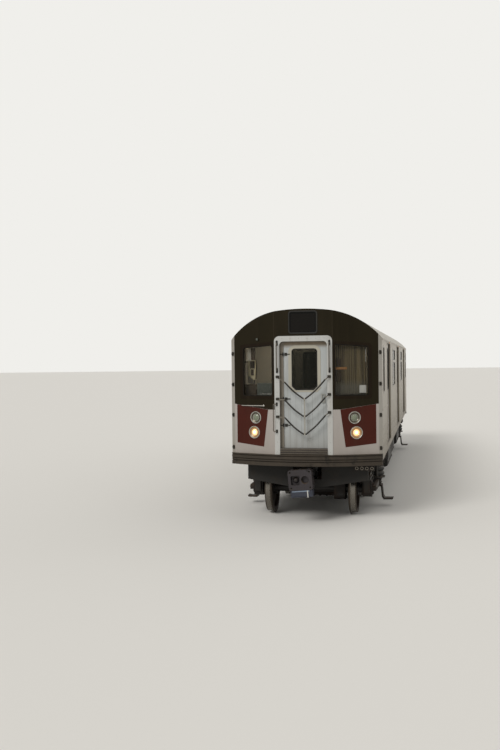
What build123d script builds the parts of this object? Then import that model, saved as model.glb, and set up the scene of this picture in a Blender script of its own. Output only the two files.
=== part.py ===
from build123d import *
from math import atan2, cos, degrees, hypot, pi, sin, tan
import os

os.makedirs("parts", exist_ok=True)

# A metro car at full size, in millimetres.
# X is across the car, Y runs from the cab end (-Y) to the blind end (+Y),
# and Z is up from the tips of the wheel flanges.

# Overall sizes
rail_top = 28  # the flanges reach this far below the rail head
coupled_length = 15646  # over the pulling faces
body_width = 2620
crown_z = rail_top + 3620
eave_z = rail_top + 3112
floor_z = rail_top + 1150
sill_z = rail_top + 1030  # lower edge of the sides
half_width = body_width / 2

# Ends of the body
end_setback = 173  # body ends behind the pulling faces
nose_y = -(coupled_length / 2 - end_setback)
tail_y = coupled_length / 2 - end_setback
nose_flat = 500  # half width of the flat middle of the front
corner_x = half_width - 60  # where the swept side of the front meets the corner post
nose_sweep = 275
corner_y = nose_y + nose_sweep
post_round = 35
front_wall = 60
rear_wall = 70
side_front_y = corner_y + 85
side_back_y = tail_y - rear_wall

# Roof section
shoulder_x = 430
shoulder_drop = 26
haunch_x = half_width - 70
haunch_z = rail_top + 3195
roof_thick = 55

# Sides and their door pockets
side_thick = 100
outer_skin = 28
pocket_width = 56
leaf_thick = 36
inner_x = half_width - side_thick
pocket_x = half_width - outer_skin - pocket_width / 2

# Mouldings on the sides: from and to height
moulding_proud = 6
moulding_table = (
    (rail_top + 1230, rail_top + 1248),
    (rail_top + 1390, rail_top + 1408),
    (rail_top + 1550, rail_top + 1568),
    (rail_top + 1866, rail_top + 1902),
    (rail_top + 3086, rail_top + 3112),
)
door_trim = 32
trim_proud = 4

# Side doors
door_y = tail_y - 2750
door_stations = (-door_y, 0, door_y)
door_opening = 1370
door_height = 1905
door_head_z = floor_z + door_height
leaf_lap = 25  # of each leaf inside its pocket when shut
leaf_gap = 2.5  # from the middle of the doorway to each leaf
leaf_travel = door_opening / 2 - 45
leaf_lift = 6  # under the leaf
leaf_rise = 12  # of the leaf above the door head
pocket_clear = 10
leaf_width = door_opening / 2 + leaf_lap - leaf_gap
pocket_reach = leaf_gap + leaf_width + leaf_travel + pocket_clear
guide_deep = 14
guide_wide = 16
shoe_long = 120
running_gap = 0.4
leaf_window_wide = 380
leaf_window_low = rail_top + 2160
leaf_window_high = rail_top + 2960
leaf_window_round = 50

# Side windows: centre along the car and width
window_low = rail_top + 2150
window_high = rail_top + 2990
window_round = 70
saloon_windows = ((-door_y / 2, 1370), (door_y / 2, 1370), (door_y + pocket_reach + 540, 570))
cab_window = (-door_y - pocket_reach - 530, 480)
window_rim = 34
transom_z_mid = rail_top + 2710
transom_high = 56
rim_deep = 30
rim_proud = 3
pane_thick = 8

# Front: mask, windscreens, panels and lamps, as heights and distances from the middle
mask_low_z = rail_top + 1908
mask_high_z = rail_top + 1998  # lower edge of the mask at the corner
mask_kink_x = 612
screen_x = (529, corner_x - 161)
screen_low_z = rail_top + 2137
screen_inner_top_z = rail_top + 3018
screen_outer_top_z = rail_top + 2978
screen_round = 45
screen_rim = 16
red_top_x = 618
red_low_x = 700
red_out_x = corner_x - 45
red_low_z = rail_top + 1268
red_out_z = rail_top + 1323
red_deep = 14
red_gap = 1
lamp_table = ((850, rail_top + 1768, 108), (879, rail_top + 1512, 110))  # x, z, radius
lamp_long = 46
lamp_proud = 12
lamp_dish = 12
lens_share = 0.48
fixture_x = 804
fixture_z = rail_top + 3112
fixture_radius = 24
fixture_proud = 22
sign_half = 238
sign_low_z = rail_top + 3205
sign_high_z = rail_top + 3575

# Front door and its portal
portal_half = 495
portal_top_z = rail_top + 3160
portal_round = 88
portal_in_half = 407
portal_in_top_z = rail_top + 3068
portal_in_round = 68
portal_proud = 12
threshold_high = 12
threshold_table = ((rail_top + 1159, 24), (rail_top + 1201, 16), (rail_top + 1236, 8))  # from, proud
jamb_deep = 15
jamb_half = 480
front_door_x = (-347, 403)
front_door_low_z = rail_top + 1253
end_door_lap = 12
end_door_thick = 40
seal_gap = 0.5
door_window_half = 222
door_window_x = 12  # middle of the front door's window
door_window_low_z = rail_top + 2235
door_window_high_z = rail_top + 2947
door_window_round = 60
door_window_cut = 66  # off the lower corners of the window
door_ring = 54
door_ring_low = 30
door_ring_proud = 6
fitting_wide = 46
fitting_high = 50
fitting_arm = 74
fitting_arm_high = 14
fitting_proud = 12
fitting_x = -308
fitting_table = (rail_top + 2852, rail_top + 2090, rail_top + 1639)
pull_x = 330
pull_z = rail_top + 2100
pull_wide = 62
pull_high = 150
pull_proud = 22

# Anticlimber
climber_low_z = rail_top + 950
climber_top_z = rail_top + 1144
climber_bow = 350  # middle ahead of the ends
climber_proud = 75
climber_back = 75
climber_groove = 30

climber_high = climber_top_z - climber_low_z
rib_table = ((0, 18), (34, 78), (92, 114), (132, climber_high))  # from and to, below the top
rear_climber_bow = 110
front_climber_back = nose_y - climber_proud + climber_bow + climber_back

# Blind end door
rear_door_half = 380
rear_door_low_z = floor_z + 20
rear_door_top_z = rail_top + 3068

# Inside
ceiling_z = floor_z + 2080
ceiling_half = 700
ceiling_side_z = rail_top + 3090
ceiling_thick = 20
ceiling_gap = 0.6
partition_y = nose_y + 1360
partition_thick = 40
floor_thick = 28
bench_depth = 450
bench_seat_z = floor_z + 430
bench_back_z = floor_z + 880
bench_thick = 45
bench_pitch = 445
bench_divider = 26
bench_clear = 265  # from a doorway to a bench
bench_length = door_y - door_opening - 2 * bench_clear
end_bench = (door_y + door_opening / 2 + bench_clear + 50, tail_y - 150)
bench_table = (  # centre, length
    (-door_y / 2, bench_length),
    (door_y / 2, bench_length),
    (sum(end_bench) / 2, end_bench[1] - end_bench[0]),
)
pole_radius = 16
pole_x = inner_x - bench_depth - 40

# Roof units
unit_y = tail_y - 2050
unit_stations = (-unit_y, unit_y)
unit_half_wide = 640
unit_length = 2400
unit_gap = 6
unit_drop = 12
fan_radius = 290
fan_hub = 70
fan_reach = 560  # of each fan from the middle of its unit
fan_deep = 60
guard_depth = 16
guard_thick = 8
guard_wire = 9
guard_rings = 4
louvre_x = 470
louvre_wide = 220
louvre_pitch = 60
louvre_count = 34
louvre_deep = 90

# Underframe
underframe_low_z = rail_top + 1012
sill_wide = 80
bearer_wide = 70
bearer_stations = (-3600, -2400, -1200, 0, 1200, 2400, 3600)
draft_sill_x = 220
draft_sill_wide = 80
bolster_half_long = 300

# Jumper sockets
socket_row_x = (867, 954, 1037, 1125)
socket_row_z = rail_top + 892
socket_row_low_z = rail_top + 850
socket_row_wide = 350
socket_row_deep = 36
socket_row_radius = 27
socket_row_y = front_climber_back - 30

# Trucks
truck_y = coupled_length / 2 - 2338
truck_stations = (-truck_y, truck_y)
truck_names = ("front", "rear")
half_wheelbase = 1040
wheel_radius = 432
wheel_back_x = 680
wheel_wide = 135
flange_high = rail_top
axle_z = rail_top + wheel_radius
axle_radius = 75
hub_radius = 125
journal_radius = 65
frame_x = wheel_back_x + wheel_wide + 170
frame_wide = 150
brake_long = 230
brake_y = half_wheelbase - wheel_radius - flange_high - brake_long / 2 - 20
transom_radius = 70
transom_clear = 10  # to the brakes
transom_y = brake_y - brake_long / 2 - transom_radius - transom_clear
transom_z = axle_z + 20
frame_mid_top = axle_z + 100
frame_mid_low = axle_z - 60
frame_end_low = axle_z + 190
frame_end_top = frame_end_low + 140
frame_reach = 1330
centre_plate_z = 975
centre_radius = 220
bearing_x = 650
bolster_top = 900
bolster_low = 770
bolster_wide = 190
frame_round = 38
frame_flange = 26
frame_dish = 22
leg_gap = 6
leg_wide = 42
leg_low_z = axle_z - 20
shelf_thick = 24
shelf_reach = brake_y - brake_long / 2 - transom_clear  # along the car, short of the brakes
bolster_end_top = 860
bolster_mid_low = 700
anchor_x = frame_x + 205
anchor_z = 830
anchor_long = 760
anchor_radius = 26
box_wide = 170
box_half = 150
box_radius = 148
box_cover_radius = 105
box_cover_deep = 18
spring_waist = 205
spring_radius = 250
motor_radius = 230
motor_rib = 12
motor_rib_wide = 22
motor_ribs = 6
brake_can_radius = 74
brake_can_high = 190
beam_half = 1140
beam_thick = 55
paddle_half = 110
motor_y = 610
motor_z = axle_z + 20
lug_from = transom_y + transom_radius
lug_to = motor_y - motor_radius + 60
gear_x = (-600, -400)
motor_span = (-380, 330)
axle_clear = 5

# Couplers
coupler_z = rail_top + 730
pivot_y = coupled_length / 2 - 863
pin_radius = 40
eye_radius = 85
eye_high = 120
shank_wide = 130
shank_high = 110
head_half = 205
head_high = 345
head_deep = 170
head_roll = 5  # the head hangs a little out of level
head_tilt = head_roll * pi / 180
neck_long = 130
coupler_hang = -3.3  # the coupler hangs this far to one side, in degrees
head_round = 40
head_flat = (head_half - head_round) * cos(head_tilt) + (head_high / 2 - head_round) * sin(head_tilt)
head_spread = head_flat + head_round
hang_angle = abs(coupler_hang) * pi / 180
coupler_reach = (coupled_length / 2 - pivot_y - head_spread * sin(hang_angle)) / cos(hang_angle)
socket_half = 78
socket_deep = 70
socket_x = 82
funnel_radius = 66
cone_radius = 54
cone_taper = 24
bolt_x = 165
bolt_z = 132
bolt_radius = 19
bolt_deep = 45
electric_half = 185
electric_high = 120
electric_deep = 150
drawbar_radius = 52
drawbar_neck = 90
drawbar_flange_radius = 120
drawbar_bolt_circle = 180
drawbar_bolt_radius = 11
drawbar_bolts = 6

# End doors: hinges
knuckle_radius = 8
knuckle_long = 60
flap_long = 70
flap_thick = 8
pivot_out = 10  # hinge pin beyond the leaf's inner face
pivot_side = 8  # hinge pin beside the leaf's edge
end_hinge_table = (floor_z + 300, floor_z + 1000, floor_z + 1700)

# Cab door
cab_door_half = 360
cab_door_high = 1980
cab_door_thick = 34
cab_pane_wide = 360
cab_pane_high = 640
door_clear = 7
cab_pivot_x = cab_door_half - 4
cab_pivot_y = partition_y - pivot_out
cab_hinge_table = (floor_z + 250, floor_z + 1000, floor_z + 1750)

# Driver's desk and seat
desk_front_y = corner_y + 90
desk_back_y = corner_y + 560
desk_high = 940
desk_wide = 640
seat_x = -inner_x + 370
seat_y = partition_y - 350
seat_wide = 440

# Poles and bars
rail_z = floor_z + 1800
ceiling_slope = (ceiling_z - ceiling_side_z) / (inner_x - ceiling_half)
pole_top_z = ceiling_z - (pole_x + pole_radius - ceiling_half) * ceiling_slope
bar_radius = 10
bar_bend = 32
bar_stand = 60
bar_table = (  # x, y of the wall, from z, to z, way out
    (-448, nose_y - portal_proud, rail_top + 2576, rail_top + 3040, -1),
    (448, nose_y - portal_proud, rail_top + 2576, rail_top + 3040, -1),
    (-480, tail_y, rail_top + 1500, rail_top + 2900, 1),
    (480, tail_y, rail_top + 1500, rail_top + 2900, 1),
)

# Hand iron beside the door: from feet on the portal it turns out to one side
iron_foot_x = -458
iron_x = -510
iron_z = (rail_top + 1540, rail_top + 2003)
iron_radius = 7
iron_stand = 46
iron_bend = 16

# More of the front and underframe
bracket_x = 442
bracket_wide = 58
bracket_high = 44
bracket_over = 53  # above the top of its chain
chain_foot_x = 13  # of each foot from the middle of its V
wiper_x = -700
wiper_z = rail_top + 1972
wiper_long = 450
wiper_wide = 16
screen_inset = 18
floor_front_y = front_climber_back
window_mid_z = (window_low + window_high) / 2
end_sill_wide = 120
lug_thick = 30
draft_box_wide = 260
draft_box_long = 300
carrier_y = nose_y + 420
carrier_thick = 60
carrier_half = inner_x - 160
carrier_flat = 300
carrier_side_z = rail_top + 670
carrier_low_z = rail_top + 545
slot_high_z = rail_top + 900
slot_half = 250
case_out_x = inner_x - 20
case_table = (  # x from, x to, y from, y to, lowest z
    (200, case_out_x, -3400, -1400, rail_top + 470),
    (-case_out_x, -420, -3300, -2100, rail_top + 560),
    (-case_out_x, -300, -1900, -300, rail_top + 500),
    (350, case_out_x, -1150, -100, rail_top + 540),
    (-case_out_x, -250, 100, 1900, rail_top + 470),
    (250, case_out_x, 1500, 3300, rail_top + 500),
)
lid_pitch = 700
lid_gap = 30
lid_proud = 12
slat_pitch = 36
slat_count = 7
slat_proud = 6
rib_wide = 28
rib_high = 14
dish_share = 0.34
tank_table = (  # x, y from, y to, radius
    (620, -80, 1350, 180),
    (1010, -80, 1350, 150),
    (-700, 2280, 3720, 190),
)
frame_drop_y = 430
frame_rise_y = 700
bolster_half = frame_x + 145
brake_in_x = wheel_back_x + 10
brake_z = axle_z + 100
brake_high = 200
shoe_in_x = wheel_back_x + 55
shoe_wide = 85
shoe_clear = 8
paddle_z = rail_top + 95
paddle_x0 = frame_x + 145
paddle_x1 = frame_x + 415

# Hooks on the corner posts
post_hook_x = 32  # from the inner edge of the post's face
post_hook_wide = 40
post_hook_high = 66
post_hook_proud = 12
post_hook_table = (rail_top + 2870, rail_top + 2335, rail_top + 1804, rail_top + 1240)

# Safety chains on the front door
chain_radius = 14
chain_tops = (rail_top + 2415, rail_top + 2115, rail_top + 1812)
chain_drop = 320
chain_mid_x = 25  # middle of the V shapes
chain_hang = {-1: (-312, -37), 1: (378, 4)}  # outer end by side: x and lift
bracket_drop = {-1: (0, 77, 77), 1: (0, 0, 0)}  # by side, from the top chain down
chain_y = nose_y - portal_proud - 45
chain_sag = 24
chain_link = 5
chain_strap = 10  # half width of the strap that ties the three chains

sweep_angle = degrees(atan2(nose_sweep, corner_x - nose_flat))
sweep_cos = (corner_x - nose_flat) / hypot(nose_sweep, corner_x - nose_flat)
sweep_tan = nose_sweep / (corner_x - nose_flat)


def cross_plane(y):
    # Upright plane across the car. Its extrusions run towards the cab end.
    return Plane.XZ.offset(-y)


def facet_plane(side, inset):
    # Plane of one swept half of the front, with local x = side * distance from
    # the flat middle, and local y up from the flange tips.
    angle = sweep_angle * pi / 180
    outward = (side * sin(angle), -cos(angle), 0)
    along = (cos(angle), side * sin(angle), 0)
    start = (side * nose_flat - outward[0] * inset, nose_y - outward[1] * inset, 0)
    return Plane(origin=start, x_dir=along, z_dir=outward)


def along_facet(x):
    return (x - nose_flat) / sweep_cos


def nose_line(inset, reach):
    # The front of the car in plan, moved inwards by inset, out to x = reach.
    knee = nose_flat - inset * tan(sweep_angle * pi / 360)
    edge_y = nose_y + (reach - nose_flat) * sweep_tan + inset / sweep_cos
    return [(-reach, edge_y), (-knee, nose_y + inset), (knee, nose_y + inset), (reach, edge_y)]


def body_section(low_z):
    # The closed outer section of the body, from low_z up to the roof.
    with BuildSketch() as section:
        with BuildLine():
            shoulder_z = crown_z - shoulder_drop
            crown = ThreePointArc((-shoulder_x, shoulder_z), (0, crown_z), (shoulder_x, shoulder_z))
            haunch = TangentArc(crown @ 1, (haunch_x, haunch_z), tangent=crown % 1)
            corner = TangentArc(haunch @ 1, (half_width, eave_z), tangent=haunch % 1)
            mirror(haunch, about=Plane.YZ)
            mirror(corner, about=Plane.YZ)
            Polyline(corner @ 1, (half_width, low_z), (-half_width, low_z), (-half_width, eave_z))
        make_face()
    return section.sketch


def rounded_ring(width, height, radius, rim, centre):
    with Locations(centre):
        RectangleRounded(width, height, radius)
        RectangleRounded(width - 2 * rim, height - 2 * rim, radius - rim / 2, mode=Mode.SUBTRACT)


def knuckles(edge_x, face_y, heights, inward, fixed):
    # One half of a swing door's hinge: knuckles on the pin line, each on a flap.
    # The fixed half stands on a cheek beside the leaf.
    inner_face = face_y + inward * end_door_thick
    pin_x = edge_x - pivot_side
    pin_y = inner_face + inward * pivot_out
    reach = -flap_long if fixed else flap_long
    with BuildPart() as half:
        for height in heights:
            low = height - knuckle_long if fixed else height + running_gap
            with BuildSketch(Plane.XY.offset(low)):
                with Locations((pin_x, pin_y)):
                    Circle(knuckle_radius)
                with Locations((pin_x + reach / 2, inner_face + inward * flap_thick / 2)):
                    Rectangle(flap_long, flap_thick)
                if fixed:
                    wall_y = face_y - inward * seal_gap
                    with Locations((pin_x - flap_long + 20, (wall_y + inner_face) / 2)):
                        Rectangle(40, abs(inner_face - wall_y))
            extrude(amount=knuckle_long)
    return half.part


def wheel_outline():
    # Half of one wheelset, from the middle of the axle out: x and radius.
    out_x = wheel_back_x + wheel_wide
    tip = wheel_radius + flange_high
    return [
        (0, 0),
        (0, axle_radius),
        (wheel_back_x - 30, axle_radius),
        (wheel_back_x - 30, hub_radius),
        (wheel_back_x + 40, hub_radius),
        (wheel_back_x + 50, wheel_radius - 65),
        (wheel_back_x, wheel_radius - 65),
        (wheel_back_x, tip - 8),
        (wheel_back_x + 10, tip),
        (wheel_back_x + 20, tip),
        (wheel_back_x + 32, tip - 10),
        (wheel_back_x + 44, wheel_radius + 2),
        (out_x, wheel_radius - 4),
        (out_x, wheel_radius - 65),
        (wheel_back_x + 80, wheel_radius - 65),
        (wheel_back_x + 75, hub_radius),
        (out_x + 15, hub_radius),
        (out_x + 15, journal_radius + 15),
        (frame_x - box_wide / 2 - 10, journal_radius + 15),
        (frame_x - box_wide / 2 - 10, journal_radius),
        (frame_x + box_wide / 2 - 26, journal_radius),
        (frame_x + box_wide / 2 - 26, 0),
    ]


# Side walls: one full-thickness panel a side, with doorways, windows and the
# pockets that the leaves slide into
for side, side_name in ((-1, "left"), (1, "right")):
    with BuildPart() as side_wall:
        with BuildSketch(Plane.YZ.offset(side * (half_width - side_thick / 2))):
            with Locations(((side_front_y + side_back_y) / 2, (sill_z + eave_z) / 2)):
                Rectangle(side_back_y - side_front_y, eave_z - sill_z)
            for station in door_stations:
                with Locations((station, (floor_z + door_head_z) / 2)):
                    Rectangle(door_opening, door_height, mode=Mode.SUBTRACT)
            for centre, width in (*saloon_windows, cab_window):
                with Locations((centre, window_mid_z)):
                    RectangleRounded(width, window_high - window_low, window_round, mode=Mode.SUBTRACT)
        extrude(amount=side_thick / 2, both=True)
        pocket_top = door_head_z + leaf_rise + pocket_clear
        with BuildSketch(Plane.YZ.offset(side * pocket_x)):
            for station in door_stations:
                with Locations((station, (floor_z + pocket_top) / 2)):
                    Rectangle(2 * pocket_reach, pocket_top - floor_z)
        extrude(amount=pocket_width / 2, both=True, mode=Mode.SUBTRACT)
        with BuildSketch(Plane.YZ.offset(side * pocket_x)):
            for station in door_stations:
                with Locations((station, floor_z - guide_deep / 2)):
                    Rectangle(2 * pocket_reach, guide_deep)
        extrude(amount=guide_wide / 2, both=True, mode=Mode.SUBTRACT)
        # Mouldings along the outside, broken at the doorways
        with BuildSketch(Plane.YZ.offset(side * half_width)):
            for low, high in moulding_table:
                with Locations(((side_front_y + side_back_y) / 2, (low + high) / 2)):
                    Rectangle(side_back_y - side_front_y, high - low)
            for station in door_stations:
                with Locations((station, (sill_z + door_head_z) / 2)):
                    Rectangle(door_opening + 2 * door_trim, door_head_z - sill_z, mode=Mode.SUBTRACT)
        extrude(amount=side * moulding_proud)
        # Frame round each doorway
        with BuildSketch(Plane.YZ.offset(side * half_width)):
            for station in door_stations:
                with Locations((station, (floor_z + door_head_z) / 2)):
                    Rectangle(door_opening + 2 * door_trim, door_height + 2 * door_trim)
                    Rectangle(door_opening, door_height, mode=Mode.SUBTRACT)
        extrude(amount=side * trim_proud)
    side_wall.part.label = f"{side_name}_side_wall"
    export_step(side_wall.part, f"parts/{side_name}_side_wall.step")

    # Sliding leaves: three that open towards the cab and three towards the blind end
    for way, way_name in ((-1, "fore"), (1, "aft")):
        with BuildPart() as leaves:
            leaf_low = floor_z + leaf_lift
            leaf_top = door_head_z + leaf_rise
            leaf_mid = way * (leaf_gap + leaf_width / 2)
            pane_mid = way * (leaf_gap + (leaf_width - leaf_lap) / 2)
            with BuildSketch(Plane.YZ.offset(side * pocket_x)):
                for station in door_stations:
                    with Locations((station + leaf_mid, (leaf_low + leaf_top) / 2)):
                        Rectangle(leaf_width, leaf_top - leaf_low)
                    with Locations((station + pane_mid, (leaf_window_low + leaf_window_high) / 2)):
                        RectangleRounded(
                            leaf_window_wide,
                            leaf_window_high - leaf_window_low,
                            leaf_window_round,
                            mode=Mode.SUBTRACT,
                        )
            extrude(amount=leaf_thick / 2, both=True)
            shoe_low = floor_z - guide_deep + running_gap
            with BuildSketch(Plane.YZ.offset(side * pocket_x)):
                for station in door_stations:
                    for end in (-1, 1):
                        shoe_mid = leaf_mid + end * (leaf_width - shoe_long) / 2
                        with Locations((station + shoe_mid, (shoe_low + leaf_low) / 2)):
                            Rectangle(shoe_long, leaf_low - shoe_low)
            extrude(amount=guide_wide / 2 - running_gap, both=True)
        leaves.part.label = f"{side_name}_{way_name}_leaves"
        export_step(leaves.part, f"parts/{side_name}_{way_name}_leaves.step")


# Roof shell with a well for each cooling unit
with BuildPart() as roof:
    with BuildSketch(cross_plane(tail_y)):
        add(body_section(sill_z))
        offset(amount=-roof_thick, mode=Mode.SUBTRACT)
        with Locations((0, (sill_z + eave_z) / 2)):
            Rectangle(body_width, eave_z - sill_z, mode=Mode.SUBTRACT)
    extrude(amount=tail_y - nose_y)
    with BuildSketch(Plane.XY.offset(eave_z)):
        with BuildLine():
            front_line = nose_line(front_wall, body_width)
            Polyline(*front_line, (body_width, 2 * nose_y), (-body_width, 2 * nose_y), close=True)
        make_face()
    extrude(amount=crown_z - eave_z, mode=Mode.SUBTRACT)
    with BuildSketch(Plane.XY.offset(eave_z)):
        for station in unit_stations:
            with Locations((0, station)):
                Rectangle(2 * unit_half_wide, unit_length)
    extrude(amount=crown_z - eave_z, mode=Mode.SUBTRACT)
roof.part.label = "roof"
export_step(roof.part, "parts/roof.step")

# Cooling units, crowned like the roof and set just below its skin
with BuildPart() as roof_units:
    with BuildSketch(cross_plane(0)):
        add(body_section(sill_z))
        offset(amount=-unit_drop)
        with Locations((0, sill_z)):
            Rectangle(body_width, 2 * (ceiling_z + ceiling_thick - sill_z), mode=Mode.SUBTRACT)
    extrude(amount=tail_y, both=True)
    with BuildSketch(Plane.XY.offset(sill_z)):
        for station in unit_stations:
            with Locations((0, station)):
                Rectangle(2 * (unit_half_wide - unit_gap), unit_length - 2 * unit_gap)
    extrude(amount=crown_z, mode=Mode.INTERSECT)
    # Two fan wells a unit, each with a hub and a guard of rings and bars
    guard_z = crown_z - unit_drop - guard_depth
    fan_places = [(0, station + end * fan_reach) for station in unit_stations for end in (-1, 1)]
    with BuildSketch(Plane.XY.offset(guard_z - fan_deep)):
        with Locations(*fan_places):
            Circle(fan_radius)
            Circle(fan_hub, mode=Mode.SUBTRACT)
    extrude(amount=crown_z - guard_z + fan_deep, mode=Mode.SUBTRACT)
    with BuildSketch(Plane.XY.offset(guard_z - guard_thick)):
        with Locations(*fan_places):
            for ring in range(guard_rings):
                radius = fan_hub + (ring + 1) * (fan_radius - fan_hub) / (guard_rings + 1)
                Circle(radius)
                Circle(radius - guard_wire, mode=Mode.SUBTRACT)
            Rectangle(2 * fan_radius + 4, guard_wire)
            Rectangle(guard_wire, 2 * fan_radius + 4)
    extrude(amount=guard_thick)
    # Louvres beside the fans
    with BuildSketch(Plane.XY.offset(crown_z - unit_drop - louvre_deep)):
        for station in unit_stations:
            with Locations((0, station)):
                with GridLocations(2 * louvre_x, louvre_pitch, 2, louvre_count):
                    Rectangle(louvre_wide, louvre_pitch / 2)
    extrude(amount=louvre_deep, mode=Mode.SUBTRACT)
roof_units.part.label = "roof_units"
export_step(roof_units.part, "parts/roof_units.step")


def screen_outline(side, inset):
    # Outline of one windscreen on its facet, moved inwards by inset.
    with BuildSketch() as outline:
        with BuildLine():
            FilletPolyline(
                (side * along_facet(screen_x[0]), screen_low_z),
                (side * along_facet(screen_x[1]), screen_low_z),
                (side * along_facet(screen_x[1]), screen_outer_top_z),
                (side * along_facet(screen_x[0]), screen_inner_top_z),
                radius=screen_round,
                close=True,
            )
        make_face()
        if inset:
            offset(amount=-inset, kind=Kind.INTERSECTION)
    return outline.sketch


# Mask: the dark upper front, which carries the windscreens and the route sign
with BuildPart() as cab_mask:
    with BuildSketch(Plane.XY.offset(mask_low_z)):
        with BuildLine():
            Polyline(*nose_line(0, corner_x), *reversed(nose_line(front_wall, corner_x)), close=True)
        make_face()
    extrude(amount=crown_z - mask_low_z)
    with BuildSketch(cross_plane(0)):
        add(body_section(sill_z))
    extrude(amount=-2 * nose_y, mode=Mode.INTERSECT)
    with BuildSketch(cross_plane(0)):
        for side in (-1, 1):
            with BuildLine():
                Polyline(
                    (side * mask_kink_x, mask_low_z),
                    (side * corner_x, mask_high_z),
                    (side * corner_x, mask_low_z),
                    close=True,
                )
            make_face()
        with BuildLine():
            FilletPolyline(
                (-portal_half, sill_z),
                (-portal_half, portal_top_z),
                (portal_half, portal_top_z),
                (portal_half, sill_z),
                radius=portal_round,
            )
            Line((-portal_half, sill_z), (portal_half, sill_z))
        make_face()
        with Locations((0, (sign_low_z + sign_high_z) / 2)):
            RectangleRounded(2 * sign_half, sign_high_z - sign_low_z, screen_round)
    extrude(amount=-2 * nose_y, mode=Mode.SUBTRACT)
    for side in (-1, 1):
        with BuildSketch(facet_plane(side, front_wall)):
            add(screen_outline(side, 0))
        extrude(amount=2 * front_wall, both=True, mode=Mode.SUBTRACT)
    # Small round fixture high on the left half
    with BuildSketch(facet_plane(-1, 0)):
        with Locations((-along_facet(fixture_x), fixture_z)):
            Circle(fixture_radius)
    extrude(amount=fixture_proud)
cab_mask.part.label = "cab_mask"
export_step(cab_mask.part, "parts/cab_mask.step")


def red_outline(side):
    # One maroon panel on its facet. Its top edge lies along the mask.
    top_u = along_facet(red_top_x)
    low_u = along_facet(red_low_x)
    out_u = along_facet(red_out_x)
    edge_rise = (mask_high_z - mask_low_z) * (red_out_x - mask_kink_x) / (corner_x - mask_kink_x)
    with BuildSketch() as outline:
        with BuildLine():
            Polyline(
                (side * top_u, mask_low_z - red_gap),
                (side * out_u, mask_low_z + edge_rise - red_gap),
                (side * out_u, red_out_z),
                (side * low_u, red_low_z),
                close=True,
            )
        make_face()
    return outline.sketch


# Lower front: brushed panels each side of the portal, with a recess for the
# maroon panel and bores for the lamps
with BuildPart() as nose_panels:
    with BuildSketch(Plane.XY.offset(climber_top_z)):
        with BuildLine():
            Polyline(*nose_line(0, corner_x), *reversed(nose_line(front_wall, corner_x)), close=True)
        make_face()
        with Locations((0, nose_y)):
            Rectangle(2 * portal_half, 4 * front_wall, mode=Mode.SUBTRACT)
    extrude(amount=mask_high_z - climber_top_z)
    with BuildSketch(cross_plane(0)):
        with BuildLine():
            Polyline(
                (-corner_x, mask_high_z),
                (-mask_kink_x, mask_low_z),
                (mask_kink_x, mask_low_z),
                (corner_x, mask_high_z),
                close=True,
            )
        make_face()
    extrude(amount=-2 * nose_y, mode=Mode.SUBTRACT)
    for side in (-1, 1):
        with BuildSketch(facet_plane(side, red_deep)):
            add(red_outline(side))
        extrude(amount=2 * red_deep, mode=Mode.SUBTRACT)
        with BuildSketch(facet_plane(side, front_wall)):
            for x, z, radius in lamp_table:
                with Locations((side * along_facet(x), z)):
                    Circle(radius)
        extrude(amount=2 * front_wall, both=True, mode=Mode.SUBTRACT)
nose_panels.part.label = "nose_panels"
export_step(nose_panels.part, "parts/nose_panels.step")

# Maroon panels round the lamps
with BuildPart() as maroon_panels:
    for side in (-1, 1):
        with BuildSketch(facet_plane(side, red_deep)):
            add(red_outline(side))
            for x, z, radius in lamp_table:
                with Locations((side * along_facet(x), z)):
                    Circle(radius, mode=Mode.SUBTRACT)
        extrude(amount=red_deep + 1)
maroon_panels.part.label = "maroon_panels"
export_step(maroon_panels.part, "parts/maroon_panels.step")

# Lamps: a bezel with a domed lens, turned about an axis square to its facet.
# In the outline, y is the depth behind the facet.
with BuildPart() as headlamps:
    for side in (-1, 1):
        facet = facet_plane(side, 0)
        for x, z, radius in lamp_table:
            middle = facet.from_local_coords(Vector(side * along_facet(x), z, 0))
            lens = radius * lens_share
            dome = lamp_dish + lamp_proud / 2
            with BuildSketch(Plane(origin=middle, x_dir=facet.x_dir, z_dir=(0, 0, 1))):
                with BuildLine():
                    Polyline(
                        (0, -lamp_proud / 2),
                        (0, lamp_long),
                        (radius, lamp_long),
                        (radius, -lamp_proud / 2),
                        (radius - 6, -lamp_proud),
                        (radius - 14, -lamp_proud),
                        (lens + 3, lamp_dish),
                        (lens, lamp_dish),
                    )
                    RadiusArc((lens, lamp_dish), (0, -lamp_proud / 2), (lens**2 + dome**2) / (2 * dome))
                make_face()
            revolve(axis=Axis(middle, facet.z_dir))
headlamps.part.label = "headlamps"
export_step(headlamps.part, "parts/headlamps.step")

# Route sign: a blank panel behind the mask's window
with BuildPart() as route_sign:
    with BuildSketch(cross_plane(nose_y + front_wall)):
        with Locations((0, (sign_low_z + sign_high_z) / 2)):
            RectangleRounded(2 * sign_half, sign_high_z - sign_low_z, screen_round)
    extrude(amount=front_wall - 10)
route_sign.part.label = "route_sign"
export_step(route_sign.part, "parts/route_sign.step")

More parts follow.
